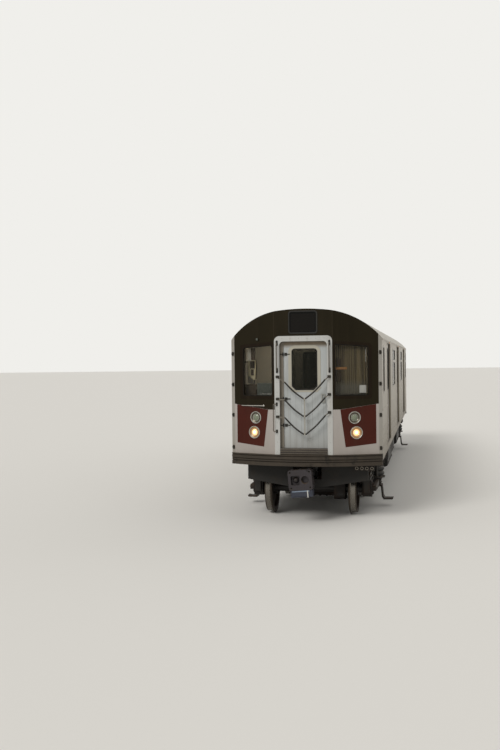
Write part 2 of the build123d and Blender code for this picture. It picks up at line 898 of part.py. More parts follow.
# Corner posts of the front, which run up to the roof's edge
with BuildPart() as corner_posts:
    wall_back = front_wall / sweep_cos
    for top_z, back_points in (
        (eave_z, ((half_width, side_front_y), (inner_x, side_front_y), (inner_x, wall_back))),
        (crown_z, ((half_width, side_front_y), (corner_x, side_front_y))),
    ):
        with BuildSketch(Plane.XY.offset(climber_top_z)):
            for side in (-1, 1):
                points = [(corner_x, corner_y), (half_width, corner_y + post_round)]
                for x, y in back_points:
                    points.append((x, y if y < 0 else nose_y + (x - nose_flat) * sweep_tan + y))
                if top_z == eave_z:
                    points.append((corner_x, corner_y + wall_back))
                with BuildLine():
                    Polyline(*[(side * x, y) for x, y in points], close=True)
                make_face()
        extrude(amount=top_z - climber_top_z)
    with BuildSketch(cross_plane(0)):
        add(body_section(sill_z))
    extrude(amount=-2 * nose_y, mode=Mode.INTERSECT)
    with BuildSketch(Plane.XY.offset(eave_z)):
        with BuildLine():
            front_line = nose_line(front_wall, body_width)
            Polyline(*front_line, (body_width, 0), (-body_width, 0), close=True)
        make_face()
    extrude(amount=crown_z - eave_z, mode=Mode.SUBTRACT)
corner_posts.part.label = "corner_posts"
export_step(corner_posts.part, "parts/corner_posts.step")

# Portal: the frame of the front door, its lip and its raised sill
with BuildPart() as door_portal:
    with BuildSketch(cross_plane(nose_y + front_wall)):
        with BuildLine():
            FilletPolyline(
                (-portal_half, climber_top_z),
                (-portal_half, portal_top_z),
                (portal_half, portal_top_z),
                (portal_half, climber_top_z),
                radius=portal_round,
            )
            Line((-portal_half, climber_top_z), (portal_half, climber_top_z))
        make_face()
        with BuildLine():
            FilletPolyline(
                (-portal_in_half, front_door_low_z),
                (-portal_in_half, portal_in_top_z),
                (portal_in_half, portal_in_top_z),
                (portal_in_half, front_door_low_z),
                radius=portal_in_round,
            )
            Line((-portal_in_half, front_door_low_z), (portal_in_half, front_door_low_z))
        make_face(mode=Mode.SUBTRACT)
    extrude(amount=front_wall + portal_proud)
    # Steps of the sill
    for low, proud in threshold_table:
        with BuildSketch(cross_plane(nose_y)):
            with Locations((0, low + threshold_high / 2)):
                Rectangle(2 * portal_in_half, threshold_high)
        extrude(amount=portal_proud + proud)
    with BuildSketch(cross_plane(nose_y + front_wall + jamb_deep)):
        with Locations((0, (climber_top_z + portal_top_z) / 2)):
            Rectangle(2 * jamb_half, portal_top_z - climber_top_z)
        lip_top = portal_in_top_z - end_door_lap
        with BuildLine():
            lip_line = FilletPolyline(
                (front_door_x[0], front_door_low_z),
                (front_door_x[0], lip_top),
                (front_door_x[1], lip_top),
                (front_door_x[1], front_door_low_z),
                radius=portal_in_round - end_door_lap,
            )
            Line(lip_line @ 1, lip_line @ 0)
        make_face(mode=Mode.SUBTRACT)
    extrude(amount=jamb_deep)
    front_face = nose_y + front_wall + jamb_deep + seal_gap
    add(knuckles(front_door_x[0] - end_door_lap, front_face, end_hinge_table, 1, fixed=True))
door_portal.part.label = "door_portal"
export_step(door_portal.part, "parts/door_portal.step")


def door_pane_outline(middle, spread):
    # Outline of an end door's window, cut at its lower corners and moved
    # outwards by spread.
    half = door_window_half + spread
    low = door_window_low_z - spread
    top = door_window_high_z + spread
    cut = door_window_cut + spread * tan(pi / 8)
    round_top = door_window_round + spread
    with BuildSketch() as outline:
        with BuildLine():
            FilletPolyline(
                (middle - half, (low + top) / 2),
                (middle - half, top),
                (middle + half, top),
                (middle + half, (low + top) / 2),
                radius=round_top,
            )
            Polyline(
                (middle + half, (low + top) / 2),
                (middle + half, low + cut),
                (middle + half - cut, low),
                (middle - half + cut, low),
                (middle - half, low + cut),
                (middle - half, (low + top) / 2),
            )
        make_face()
    return outline.sketch


def end_door(edges, low_z, top_z, face_y, inward, window_x):
    # One swing door with its window cut round window_x. face_y is its outer face,
    # and inward is the way into the car along Y.
    with BuildPart() as leaf:
        with BuildSketch(cross_plane(face_y)):
            with Locations((sum(edges) / 2, (low_z + top_z) / 2)):
                Rectangle(edges[1] - edges[0], top_z - low_z)
            add(door_pane_outline(window_x, 0), mode=Mode.SUBTRACT)
        extrude(amount=-inward * end_door_thick)
    return leaf.part


def end_door_pane(middle, face_y, inward):
    with BuildPart() as pane:
        with BuildSketch(cross_plane(face_y + inward * (end_door_thick - pane_thick) / 2)):
            add(door_pane_outline(middle, 0))
        extrude(amount=-inward * pane_thick)
    return pane.part


front_edges = (front_door_x[0] - end_door_lap, front_door_x[1] + end_door_lap)
with BuildPart() as front_door:
    front_low = front_door_low_z - end_door_lap
    add(end_door(front_edges, front_low, portal_in_top_z, front_face, 1, door_window_x))
    add(knuckles(front_edges[0], front_face, end_hinge_table, 1, fixed=False))
    # Ring round the window, three hinge fittings with their arms, and a pull handle
    with BuildSketch(cross_plane(front_face)):
        add(door_pane_outline(door_window_x, door_ring))
        with Locations((door_window_x, door_window_low_z - door_ring)):
            Rectangle(4 * door_window_half, 2 * (door_ring - door_ring_low), mode=Mode.SUBTRACT)
        add(door_pane_outline(door_window_x, 0), mode=Mode.SUBTRACT)
    extrude(amount=door_ring_proud)
    with BuildSketch(cross_plane(front_face)):
        with Locations(*[(fitting_x, z) for z in fitting_table]):
            RectangleRounded(fitting_wide, fitting_high, 8)
        with Locations(*[(fitting_x + fitting_arm / 2, z) for z in fitting_table]):
            Rectangle(fitting_arm, fitting_arm_high)
    extrude(amount=fitting_proud)
    with BuildSketch(cross_plane(front_face)):
        with Locations((pull_x, pull_z)):
            RectangleRounded(pull_wide, pull_high, 10)
            RectangleRounded(pull_wide - 36, pull_high - 36, 6, mode=Mode.SUBTRACT)
    extrude(amount=pull_proud)
front_door.part.label = "front_door"
export_step(front_door.part, "parts/front_door.step")

with BuildPart() as front_door_glass:
    add(end_door_pane(door_window_x, front_face, 1))
front_door_glass.part.label = "front_door_glass"
export_step(front_door_glass.part, "parts/front_door_glass.step")

# Blind end: wall with its doorway and lip
with BuildPart() as rear_end_wall:
    with BuildSketch(cross_plane(tail_y)):
        add(body_section(sill_z))
        offset(amount=-roof_thick)
        with Locations((0, (sill_z + eave_z) / 2)):
            Rectangle(body_width, eave_z - sill_z, mode=Mode.SUBTRACT)
        with Locations((0, (climber_top_z + eave_z) / 2)):
            Rectangle(body_width, eave_z - climber_top_z)
        with Locations((0, (rear_door_low_z + rear_door_top_z) / 2)):
            Rectangle(2 * rear_door_half, rear_door_top_z - rear_door_low_z, mode=Mode.SUBTRACT)
    extrude(amount=rear_wall)
    rear_face = tail_y - rear_wall - seal_gap
    rear_edge = -rear_door_half - end_door_lap
    add(knuckles(rear_edge, rear_face, end_hinge_table, -1, fixed=True))
rear_end_wall.part.label = "rear_end_wall"
export_step(rear_end_wall.part, "parts/rear_end_wall.step")

with BuildPart() as rear_door:
    rear_edges = (rear_edge, -rear_edge)
    rear_low = rear_door_low_z - end_door_lap
    rear_top = rear_door_top_z + end_door_lap
    add(end_door(rear_edges, rear_low, rear_top, rear_face, -1, 0))
    add(knuckles(rear_edge, rear_face, end_hinge_table, -1, fixed=False))
rear_door.part.label = "rear_door"
export_step(rear_door.part, "parts/rear_door.step")

with BuildPart() as rear_door_glass:
    add(end_door_pane(0, rear_face, -1))
rear_door_glass.part.label = "rear_door_glass"
export_step(rear_door_glass.part, "parts/rear_door_glass.step")

# Anticlimbers: a bowed buffer beam with three ribs at each end
with BuildPart() as anticlimbers:
    for end, bow, back in ((-1, climber_bow, front_climber_back), (1, rear_climber_bow, side_back_y)):
        nose = end * (tail_y + climber_proud)
        ends = nose - end * bow
        for inset, ribs in ((climber_groove, ((0, climber_high),)), (0, rib_table)):
            for high, low in ribs:
                with BuildSketch(Plane.XY.offset(climber_top_z - low)):
                    with BuildLine():
                        front = ThreePointArc(
                            (-half_width, ends - end * inset),
                            (0, nose - end * inset),
                            (half_width, ends - end * inset),
                        )
                        Polyline(front @ 1, (half_width, back), (-half_width, back), front @ 0)
                    make_face()
                extrude(amount=low - high)
anticlimbers.part.label = "anticlimbers"
export_step(anticlimbers.part, "parts/anticlimbers.step")

# Rims of the side windows, and their panes
with BuildPart() as window_rims:
    for side in (-1, 1):
        rim_x = side * (half_width + rim_proud - rim_deep / 2)
        with BuildSketch(Plane.YZ.offset(rim_x)):
            for centre, width in (*saloon_windows, cab_window):
                rounded_ring(width, window_high - window_low, window_round, window_rim, (centre, window_mid_z))
            for centre, width in saloon_windows:
                with Locations((centre, transom_z_mid)):
                    Rectangle(width - window_rim, transom_high)
        extrude(amount=rim_deep / 2, both=True)
        # Rubber round each windscreen
        with BuildSketch(facet_plane(side, rim_deep)):
            add(screen_outline(side, 0))
            add(screen_outline(side, screen_rim), mode=Mode.SUBTRACT)
        extrude(amount=rim_deep + rim_proud)
window_rims.part.label = "window_rims"
export_step(window_rims.part, "parts/window_rims.step")

with BuildPart() as window_glass:
    for side in (-1, 1):
        pane_x = side * (half_width + rim_proud - rim_deep / 2)
        with BuildSketch(Plane.YZ.offset(pane_x)):
            for centre, width in (*saloon_windows, cab_window):
                with Locations((centre, window_mid_z)):
                    RectangleRounded(
                        width - 2 * window_rim,
                        window_high - window_low - 2 * window_rim,
                        window_round - window_rim / 2,
                    )
            for centre, width in saloon_windows:
                with Locations((centre, transom_z_mid)):
                    Rectangle(width, transom_high, mode=Mode.SUBTRACT)
        extrude(amount=pane_thick / 2, both=True)
        with BuildSketch(facet_plane(side, screen_inset)):
            add(screen_outline(side, screen_rim))
        extrude(amount=-pane_thick)
window_glass.part.label = "window_glass"
export_step(window_glass.part, "parts/window_glass.step")

# Floor and ceiling
with BuildPart() as floor:
    with BuildSketch(Plane.XY.offset(floor_z - floor_thick)):
        with Locations((0, (floor_front_y + side_back_y) / 2)):
            Rectangle(2 * inner_x, side_back_y - floor_front_y)
    extrude(amount=floor_thick)
floor.part.label = "floor"
export_step(floor.part, "parts/floor.step")


def ceiling_points(lift):
    return [
        (-inner_x, ceiling_side_z + lift),
        (-ceiling_half, ceiling_z + lift),
        (ceiling_half, ceiling_z + lift),
        (inner_x, ceiling_side_z + lift),
    ]


# Ceiling: a flat middle panel and a sloped one each side
with BuildPart() as ceiling:
    with BuildSketch(cross_plane(side_back_y)):
        with BuildLine():
            Polyline(*ceiling_points(0), *reversed(ceiling_points(ceiling_thick)), close=True)
        make_face()
        with Locations((-ceiling_half, ceiling_z), (ceiling_half, ceiling_z)):
            Rectangle(ceiling_gap, 4 * ceiling_thick, mode=Mode.SUBTRACT)
    extrude(amount=side_back_y - nose_y)
    with BuildSketch(Plane.XY.offset(sill_z)):
        with BuildLine():
            front_line = nose_line(front_wall, body_width)
            Polyline(*front_line, (body_width, 2 * nose_y), (-body_width, 2 * nose_y), close=True)
        make_face()
    extrude(amount=crown_z - sill_z, mode=Mode.SUBTRACT)
ceiling.part.label = "ceiling"
export_step(ceiling.part, "parts/ceiling.step")

# Cab partition and its door
with BuildPart() as cab_partition:
    with BuildSketch(cross_plane(partition_y + partition_thick)):
        with BuildLine():
            Polyline((-inner_x, floor_z), *ceiling_points(0), (inner_x, floor_z), close=True)
        make_face()
        with Locations((0, floor_z + cab_door_high / 2)):
            Rectangle(2 * cab_door_half, cab_door_high, mode=Mode.SUBTRACT)
    extrude(amount=partition_thick)
    for z in cab_hinge_table:
        with BuildSketch(Plane.XY.offset(z - knuckle_long)):
            with Locations((cab_pivot_x, cab_pivot_y)):
                Circle(knuckle_radius)
            with Locations((cab_pivot_x + flap_long / 2, partition_y - flap_thick / 2)):
                Rectangle(flap_long, flap_thick)
        extrude(amount=knuckle_long - running_gap)
cab_partition.part.label = "cab_partition"
export_step(cab_partition.part, "parts/cab_partition.step")

with BuildPart() as cab_door:
    with BuildSketch(cross_plane(partition_y + cab_door_thick)):
        with Locations((0, floor_z + cab_door_high / 2)):
            Rectangle(2 * (cab_door_half - door_clear), cab_door_high - 2 * door_clear)
        with Locations((0, window_mid_z)):
            RectangleRounded(cab_pane_wide, cab_pane_high, 40, mode=Mode.SUBTRACT)
    extrude(amount=cab_door_thick)
    for z in cab_hinge_table:
        with BuildSketch(Plane.XY.offset(z)):
            with Locations((cab_pivot_x, cab_pivot_y)):
                Circle(knuckle_radius)
            with Locations((cab_pivot_x - flap_long / 2, partition_y - flap_thick / 2)):
                Rectangle(flap_long, flap_thick)
        extrude(amount=knuckle_long)
cab_door.part.label = "cab_door"
export_step(cab_door.part, "parts/cab_door.step")

# Driver's desk and seat
with BuildPart() as cab_desk:
    with BuildSketch(Plane.YZ.offset(-inner_x)):
        with BuildLine():
            Polyline(
                (desk_front_y, floor_z),
                (desk_front_y, floor_z + desk_high),
                (desk_back_y - 120, floor_z + desk_high),
                (desk_back_y, floor_z + desk_high - 140),
                (desk_back_y, floor_z + desk_high - 230),
                (desk_back_y - 160, floor_z + desk_high - 260),
                (desk_back_y - 160, floor_z),
                close=True,
            )
        make_face()
    extrude(amount=desk_wide)
cab_desk.part.label = "cab_desk"
export_step(cab_desk.part, "parts/cab_desk.step")

with BuildPart() as cab_seat:
    with BuildSketch(Plane.XY.offset(floor_z)):
        with Locations((seat_x, seat_y)):
            Circle(190)
    extrude(amount=30)
    with BuildSketch(Plane.XY.offset(floor_z)):
        with Locations((seat_x, seat_y)):
            Circle(45)
    extrude(amount=400)
    with BuildSketch(Plane.XY.offset(floor_z + 400)):
        with Locations((seat_x, seat_y)):
            RectangleRounded(seat_wide, seat_wide, 70)
    extrude(amount=90)
    with BuildSketch(cross_plane(seat_y + seat_wide / 2 + 5)):
        with Locations((seat_x, floor_z + 700)):
            RectangleRounded(seat_wide - 40, 500, 80)
    extrude(amount=75)
cab_seat.part.label = "cab_seat"
export_step(cab_seat.part, "parts/cab_seat.step")

# Benches along both sides of the saloon
with BuildPart() as benches:
    for side in (-1, 1):
        for centre, length in bench_table:
            with BuildSketch(cross_plane(centre + length / 2)):
                with BuildLine():
                    bench_line = FilletPolyline(
                        (side * inner_x, bench_seat_z - 150),
                        (side * (inner_x - 80), bench_seat_z - 150),
                        (side * (inner_x - bench_depth), bench_seat_z - 30),
                        (side * (inner_x - bench_depth + 15), bench_seat_z + 30),
                        (side * (inner_x - 150), bench_seat_z - 10),
                        (side * (inner_x - bench_thick), bench_back_z),
                        (side * inner_x, bench_back_z),
                        radius=16,
                    )
                    Line(bench_line @ 1, bench_line @ 0)
                make_face()
            extrude(amount=length)
            # Dividers between the places
            places = round(length / bench_pitch)
            for place in range(1, places):
                with BuildSketch(cross_plane(centre - length / 2 + place * length / places + bench_divider / 2)):
                    with BuildLine():
                        Polyline(
                            (side * (inner_x - 20), bench_back_z - 40),
                            (side * (inner_x - 20), bench_seat_z - 30),
                            (side * (inner_x - bench_depth + 60), bench_seat_z),
                            (side * (inner_x - bench_depth + 60), bench_seat_z + 36),
                            (side * (inner_x - 170), bench_seat_z + 30),
                            (side * (inner_x - bench_thick - 28), bench_back_z - 40),
                            close=True,
                        )
                    make_face()
                extrude(amount=bench_divider)
benches.part.label = "benches"
export_step(benches.part, "parts/benches.step")

# Upright poles at the bench ends, with a hand rail between them
with BuildPart() as grab_poles:
    for side in (-1, 1):
        for centre, length in bench_table:
            ends = (centre - length / 2, centre + length / 2)
            with BuildSketch(Plane.XY.offset(floor_z)):
                for y in ends:
                    with Locations((side * pole_x, y)):
                        Circle(pole_radius)
            extrude(amount=pole_top_z - floor_z)
            with BuildSketch(cross_plane(ends[1])):
                with Locations((side * pole_x, rail_z)):
                    Circle(pole_radius)
            extrude(amount=length)
grab_poles.part.label = "grab_poles"
export_step(grab_poles.part, "parts/grab_poles.step")

# Grab bars on the portal and at the blind end, each one bent tube
with BuildPart() as grab_bars:
    for x, y, low, high, out in bar_table:
        face = y + out * bar_stand
        with BuildLine() as path:
            FilletPolyline((x, y, low), (x, face, low), (x, face, high), (x, y, high), radius=bar_bend)
        with BuildSketch(Plane(origin=(x, y, low), z_dir=(0, out, 0))):
            Circle(bar_radius)
        sweep(path=path.line)
    iron_wall = nose_y - portal_proud
    iron_y = iron_wall - iron_stand
    with BuildLine() as path:
        FilletPolyline(
            (iron_foot_x, iron_wall, iron_z[0]),
            (iron_foot_x, iron_y, iron_z[0]),
            (iron_x, iron_y, iron_z[0]),
            (iron_x, iron_y, iron_z[1]),
            (iron_foot_x, iron_y, iron_z[1]),
            (iron_foot_x, iron_wall, iron_z[1]),
            radius=iron_bend,
        )
    with BuildSketch(Plane(origin=(iron_foot_x, iron_wall, iron_z[0]), z_dir=(0, -1, 0))):
        Circle(iron_radius)
    sweep(path=path.line)
grab_bars.part.label = "grab_bars"
export_step(grab_bars.part, "parts/grab_bars.step")

# Chain brackets on the portal posts, with a shackle at the foot of each V
with BuildPart() as chain_brackets:
    for level, top in enumerate(chain_tops):
        for side in (-1, 1):
            bracket_z = top + bracket_over - bracket_drop[side][level]
            hang_x, hang_lift = chain_hang[side]
            with BuildSketch(cross_plane(nose_y - portal_proud)):
                with Locations((side * bracket_x, bracket_z)):
                    RectangleRounded(bracket_wide, bracket_high, 8)
            extrude(amount=14)
            with BuildSketch(cross_plane(nose_y - portal_proud)):
                with Locations((side * bracket_x, bracket_z)):
                    Circle(9)
            extrude(amount=52)
            with BuildSketch(cross_plane(chain_y + chain_link)):
                with BuildLine():
                    Polyline(
                        (side * (bracket_x + 6), bracket_z + 8),
                        (side * (bracket_x + 6), bracket_z - 8),
                        (hang_x, top + hang_lift - 13),
                        (hang_x, top + hang_lift + 13),
                        close=True,
                    )
                make_face()
            extrude(amount=2 * chain_link)
        with BuildSketch(Plane.YZ.offset(chain_mid_x - chain_foot_x)):
            with Locations((chain_y, top - chain_drop)):
                Rectangle(2 * chain_radius, 2 * chain_radius)
        extrude(amount=2 * chain_foot_x)
    # Strap that ties the three chains at their feet
    strap_low = chain_tops[-1] - chain_drop
    strap_high = chain_tops[0] - chain_drop
    with BuildSketch(cross_plane(chain_y + chain_radius)):
        with Locations((chain_mid_x, (strap_low + strap_high) / 2)):
            Rectangle(2 * chain_strap, strap_high - strap_low)
    extrude(amount=6)
    # Hooks on the corner posts, for the chains between two cars
    for side in (-1, 1):
        post_face = Plane(
            origin=(side * corner_x, corner_y, 0),
            x_dir=(half_width - corner_x, side * post_round, 0),
            z_dir=(side * post_round, corner_x - half_width, 0),
        )
        with BuildSketch(post_face):
            with Locations(*[(side * post_hook_x, z) for z in post_hook_table]):
                RectangleRounded(post_hook_wide, post_hook_high, 8)
        extrude(amount=post_hook_proud)
        with BuildSketch(post_face.offset(post_hook_proud)):
            with Locations(*[(side * post_hook_x, z) for z in post_hook_table]):
                Circle(post_hook_wide / 2 - 2)
                Circle(post_hook_wide / 2 - 11, mode=Mode.SUBTRACT)
        extrude(amount=14)
chain_brackets.part.label = "chain_brackets"
export_step(chain_brackets.part, "parts/chain_brackets.step")


def chain_route(side, top):
    # Half of one V, from its bracket down to the shackle, with a slight sag.
    hang_x, hang_lift = chain_hang[side]
    hang_z = top + hang_lift
    foot_x = chain_mid_x + side * chain_foot_x
    foot_z = top - chain_drop
    route = []
    for share, sag in ((0, 0), (1 / 3, 1), (2 / 3, 1), (1, 0)):
        x = hang_x + (foot_x - hang_x) * share
        z = hang_z + (foot_z - hang_z) * share - sag * chain_sag
        route.append((x, chain_y, z))
    return route


# Safety chains in their rubber sleeves
with BuildPart() as safety_chains:
    for top in chain_tops:
        for side in (-1, 1):
            route = chain_route(side, top)
            run = (Vector(*route[1]) - Vector(*route[0])).length
            with BuildLine() as path:
                FilletPolyline(*route, radius=run * 2.2)
            with BuildSketch(Plane(origin=route[0], z_dir=path.line % 0)):
                Circle(chain_radius)
            sweep(path=path.line)
            for (x, y, z), way in ((route[0], side), (route[-1], -side)):
                with Locations((x + way * chain_radius, y, z)):
                    Box(2 * chain_radius, 3 * chain_radius, 4 * chain_radius, mode=Mode.SUBTRACT)
safety_chains.part.label = "safety_chains"
export_step(safety_chains.part, "parts/safety_chains.step")

# The driver's wiper, parked level below the left windscreen
with BuildPart() as wipers:
    with BuildSketch(facet_plane(-1, 0)):
        with Locations((-along_facet(-wiper_x), wiper_z)):
            Circle(18)
    extrude(amount=20)
    with BuildSketch(facet_plane(-1, -8)):
        with Locations((-along_facet(-wiper_x) - wiper_long / 2 + 14, wiper_z)):
            Rectangle(wiper_long, wiper_wide)
    extrude(amount=12)
wipers.part.label = "wipers"
export_step(wipers.part, "parts/wipers.step")

# Underframe: sills, end sills, crossbearers, draft sills and body bolsters
with BuildPart() as underframe:
    with BuildSketch(Plane.XY.offset(underframe_low_z)):
        for side in (-1, 1):
            with Locations((side * (inner_x - sill_wide / 2), (floor_front_y + side_back_y) / 2)):
                Rectangle(sill_wide, side_back_y - floor_front_y)
            for end, end_y in ((-1, floor_front_y), (1, side_back_y)):
                inner_y = end * (truck_stations[1] - bolster_half_long)
                with Locations((side * draft_sill_x, (end_y + inner_y) / 2)):
                    Rectangle(draft_sill_wide, abs(end_y - inner_y))
        for y in bearer_stations:
            with Locations((0, y)):
                Rectangle(2 * inner_x, bearer_wide)
        for y in (floor_front_y + end_sill_wide / 2, side_back_y - end_sill_wide / 2):
            with Locations((0, y)):
                Rectangle(2 * inner_x, end_sill_wide)
    extrude(amount=floor_z - floor_thick - underframe_low_z)
    with BuildSketch(Plane.XY.offset(centre_plate_z)):
        for y in truck_stations:
            with Locations((0, y)):
                Rectangle(2 * inner_x - 2 * sill_wide, 2 * bolster_half_long)
    extrude(amount=floor_z - floor_thick - centre_plate_z)
    # Row of jumper sockets hung under the right of the cab end
    with BuildSketch(cross_plane(socket_row_y)):
        socket_mid_x = sum(socket_row_x) / len(socket_row_x)
        with Locations((socket_mid_x, (socket_row_low_z + climber_low_z) / 2)):
            Rectangle(socket_row_wide, climber_low_z - socket_row_low_z)
    extrude(amount=socket_row_deep)
    with BuildSketch(cross_plane(socket_row_y - socket_row_deep)):
        for x in socket_row_x:
            with Locations((x, socket_row_z)):
                Circle(socket_row_radius)
                Circle(socket_row_radius - 7, mode=Mode.SUBTRACT)
    extrude(amount=22)
underframe.part.label = "underframe"
export_step(underframe.part, "parts/underframe.step")

# Draft gear: a box, two lugs and the pivot pin of each coupler, and the carrier
# across the cab end that the coupler rests on
with BuildPart() as draft_gear:
    for end in (-1, 1):
        pivot = end * pivot_y
        lug_top = coupler_z + eye_high / 2 + running_gap
        lug_low = coupler_z - eye_high / 2 - running_gap
        with BuildSketch(Plane.XY.offset(lug_top)):
            with Locations((0, pivot)):
                Rectangle(draft_box_wide, draft_box_long)
        extrude(amount=underframe_low_z - lug_top)
        with BuildSketch(Plane.XY.offset(underframe_low_z)):
            with Locations((0, pivot)):
                Rectangle(2 * draft_sill_x - draft_sill_wide, draft_box_long)
        extrude(amount=floor_z - floor_thick - underframe_low_z)
        with BuildSketch(Plane.XY.offset(lug_low - lug_thick)):
            with Locations((0, pivot)):
                Rectangle(draft_box_wide, draft_box_long)
        extrude(amount=lug_thick)
        with BuildSketch(Plane.XY.offset(lug_low - lug_thick)):
            with Locations((0, pivot - end * (draft_box_long / 2 - 25))):
                Rectangle(draft_box_wide, 50)
        extrude(amount=lug_top - lug_low + lug_thick)
        with BuildSketch(Plane.XY.offset(lug_low)):
            with Locations((0, pivot)):
                Circle(pin_radius)
        extrude(amount=lug_top - lug_low)
    with BuildSketch(cross_plane(carrier_y + carrier_thick / 2)):
        with BuildLine():
            Polyline(
                (-carrier_half, underframe_low_z),
                (-carrier_half, carrier_side_z),
                (-carrier_flat, carrier_low_z),
                (carrier_flat, carrier_low_z),
                (carrier_half, carrier_side_z),
                (carrier_half, underframe_low_z),
                close=True,
            )
        make_face()
        slot_low = coupler_z - shank_high / 2 - running_gap
        with Locations((0, (slot_low + slot_high_z) / 2)):
            Rectangle(2 * slot_half, slot_high_z - slot_low, mode=Mode.SUBTRACT)
    extrude(amount=carrier_thick)
draft_gear.part.label = "draft_gear"
export_step(draft_gear.part, "parts/draft_gear.step")


def coupler_plane(reach):
    # Plane square to the coupler as it hangs, at reach ahead of its pivot. Its
    # extrusions run outwards, and y = 0 is the coupler's middle height.
    swing = coupler_hang * pi / 180
    ahead = Vector(sin(swing), -cos(swing), 0)
    start = Vector(0, -pivot_y, coupler_z) + ahead * reach
    return Plane(origin=start, x_dir=(cos(swing), sin(swing), 0), z_dir=ahead)


# Front coupler: shank with its eye, a head that spreads from it, and in the face a
# cone, a funnel and four bolt holes
with BuildPart() as front_coupler:
    with BuildSketch(Plane.XY.offset(coupler_z - eye_high / 2)):
        with Locations((0, -pivot_y)):
            Circle(eye_radius)
            Circle(pin_radius + running_gap, mode=Mode.SUBTRACT)
    extrude(amount=eye_high)
    face_reach = coupler_reach
    neck_reach = face_reach - head_deep - neck_long
    with BuildSketch(coupler_plane(pin_radius + 15)):
        RectangleRounded(shank_wide, shank_high, 20)
    extrude(amount=neck_reach - pin_radius - 15 + 1)
    with BuildSketch(coupler_plane(neck_reach)):
        RectangleRounded(shank_wide, shank_high, 20)
    with BuildSketch(coupler_plane(face_reach - head_deep)):
        with Locations(Location((0, 0), head_roll)):
            RectangleRounded(2 * head_half - 30, head_high - 30, head_round)
    loft()
    with BuildSketch(coupler_plane(face_reach - head_deep)):
        with Locations(Location((0, 0), head_roll)):
            RectangleRounded(2 * head_half, head_high, head_round)
    extrude(amount=head_deep)
    with BuildSketch(coupler_plane(face_reach - socket_deep)):
        with Locations(Location((0, 0), head_roll)):
            with Locations((-socket_x, 0)):
                RectangleRounded(2 * socket_half, 2 * socket_half, 22)
            with Locations((socket_x, 0)):
                Circle(funnel_radius)
    extrude(amount=socket_deep, mode=Mode.SUBTRACT)
    with BuildSketch(coupler_plane(face_reach - socket_deep)):
        with Locations(Location((0, 0), head_roll)):
            with Locations((-socket_x, 0)):
                Circle(cone_radius)
    extrude(amount=socket_deep - 14, taper=cone_taper)
    with BuildSketch(coupler_plane(face_reach - bolt_deep)):
        with Locations(Location((0, 0), head_roll)):
            with GridLocations(2 * bolt_x, 2 * bolt_z, 2, 2):
                Circle(bolt_radius)
    extrude(amount=bolt_deep, mode=Mode.SUBTRACT)
front_coupler.part.label = "front_coupler"
export_step(front_coupler.part, "parts/front_coupler.step")

# Electric coupler below the head, with its cover
with BuildPart() as electric_coupler:
    box_mid = (head_high + electric_high) / 2
    with BuildSketch(coupler_plane(face_reach - head_deep)):
        with Locations(Location((box_mid * sin(head_tilt), -box_mid * cos(head_tilt)), head_roll)):
            RectangleRounded(2 * electric_half, electric_high, 14)
    extrude(amount=electric_deep)
    with BuildSketch(coupler_plane(face_reach - head_deep + electric_deep)):
        with Locations(Location((box_mid * sin(head_tilt), -box_mid * cos(head_tilt)), head_roll)):
            RectangleRounded(2 * electric_half - 50, electric_high - 36, 10)
    extrude(amount=10)
electric_coupler.part.label = "electric_coupler"
export_step(electric_coupler.part, "parts/electric_coupler.step")

# Rear drawbar
with BuildPart() as rear_drawbar:
    with BuildSketch(Plane.XY.offset(coupler_z - eye_high / 2)):
        with Locations((0, pivot_y)):
            Circle(eye_radius)
            Circle(pin_radius + running_gap, mode=Mode.SUBTRACT)
    extrude(amount=eye_high)
    with BuildSketch(cross_plane(pivot_y + eye_radius + drawbar_neck)):
        with Locations((0, coupler_z)):
            Circle(drawbar_radius)
    with BuildSketch(cross_plane(pivot_y + pin_radius + 15)):
        with Locations((0, coupler_z)):
            RectangleRounded(shank_wide, shank_high, 20)
    loft()
    with BuildSketch(cross_plane(coupled_length / 2)):
        with Locations((0, coupler_z)):
            Circle(drawbar_radius)
    extrude(amount=coupled_length / 2 - pivot_y - eye_radius - drawbar_neck)
    with BuildSketch(cross_plane(coupled_length / 2)):
        with Locations((0, coupler_z)):
            Circle(drawbar_flange_radius)
            with PolarLocations(drawbar_bolt_circle / 2, drawbar_bolts):
                Circle(drawbar_bolt_radius, mode=Mode.SUBTRACT)
    extrude(amount=45)
rear_drawbar.part.label = "rear_drawbar"
export_step(rear_drawbar.part, "parts/rear_drawbar.step")

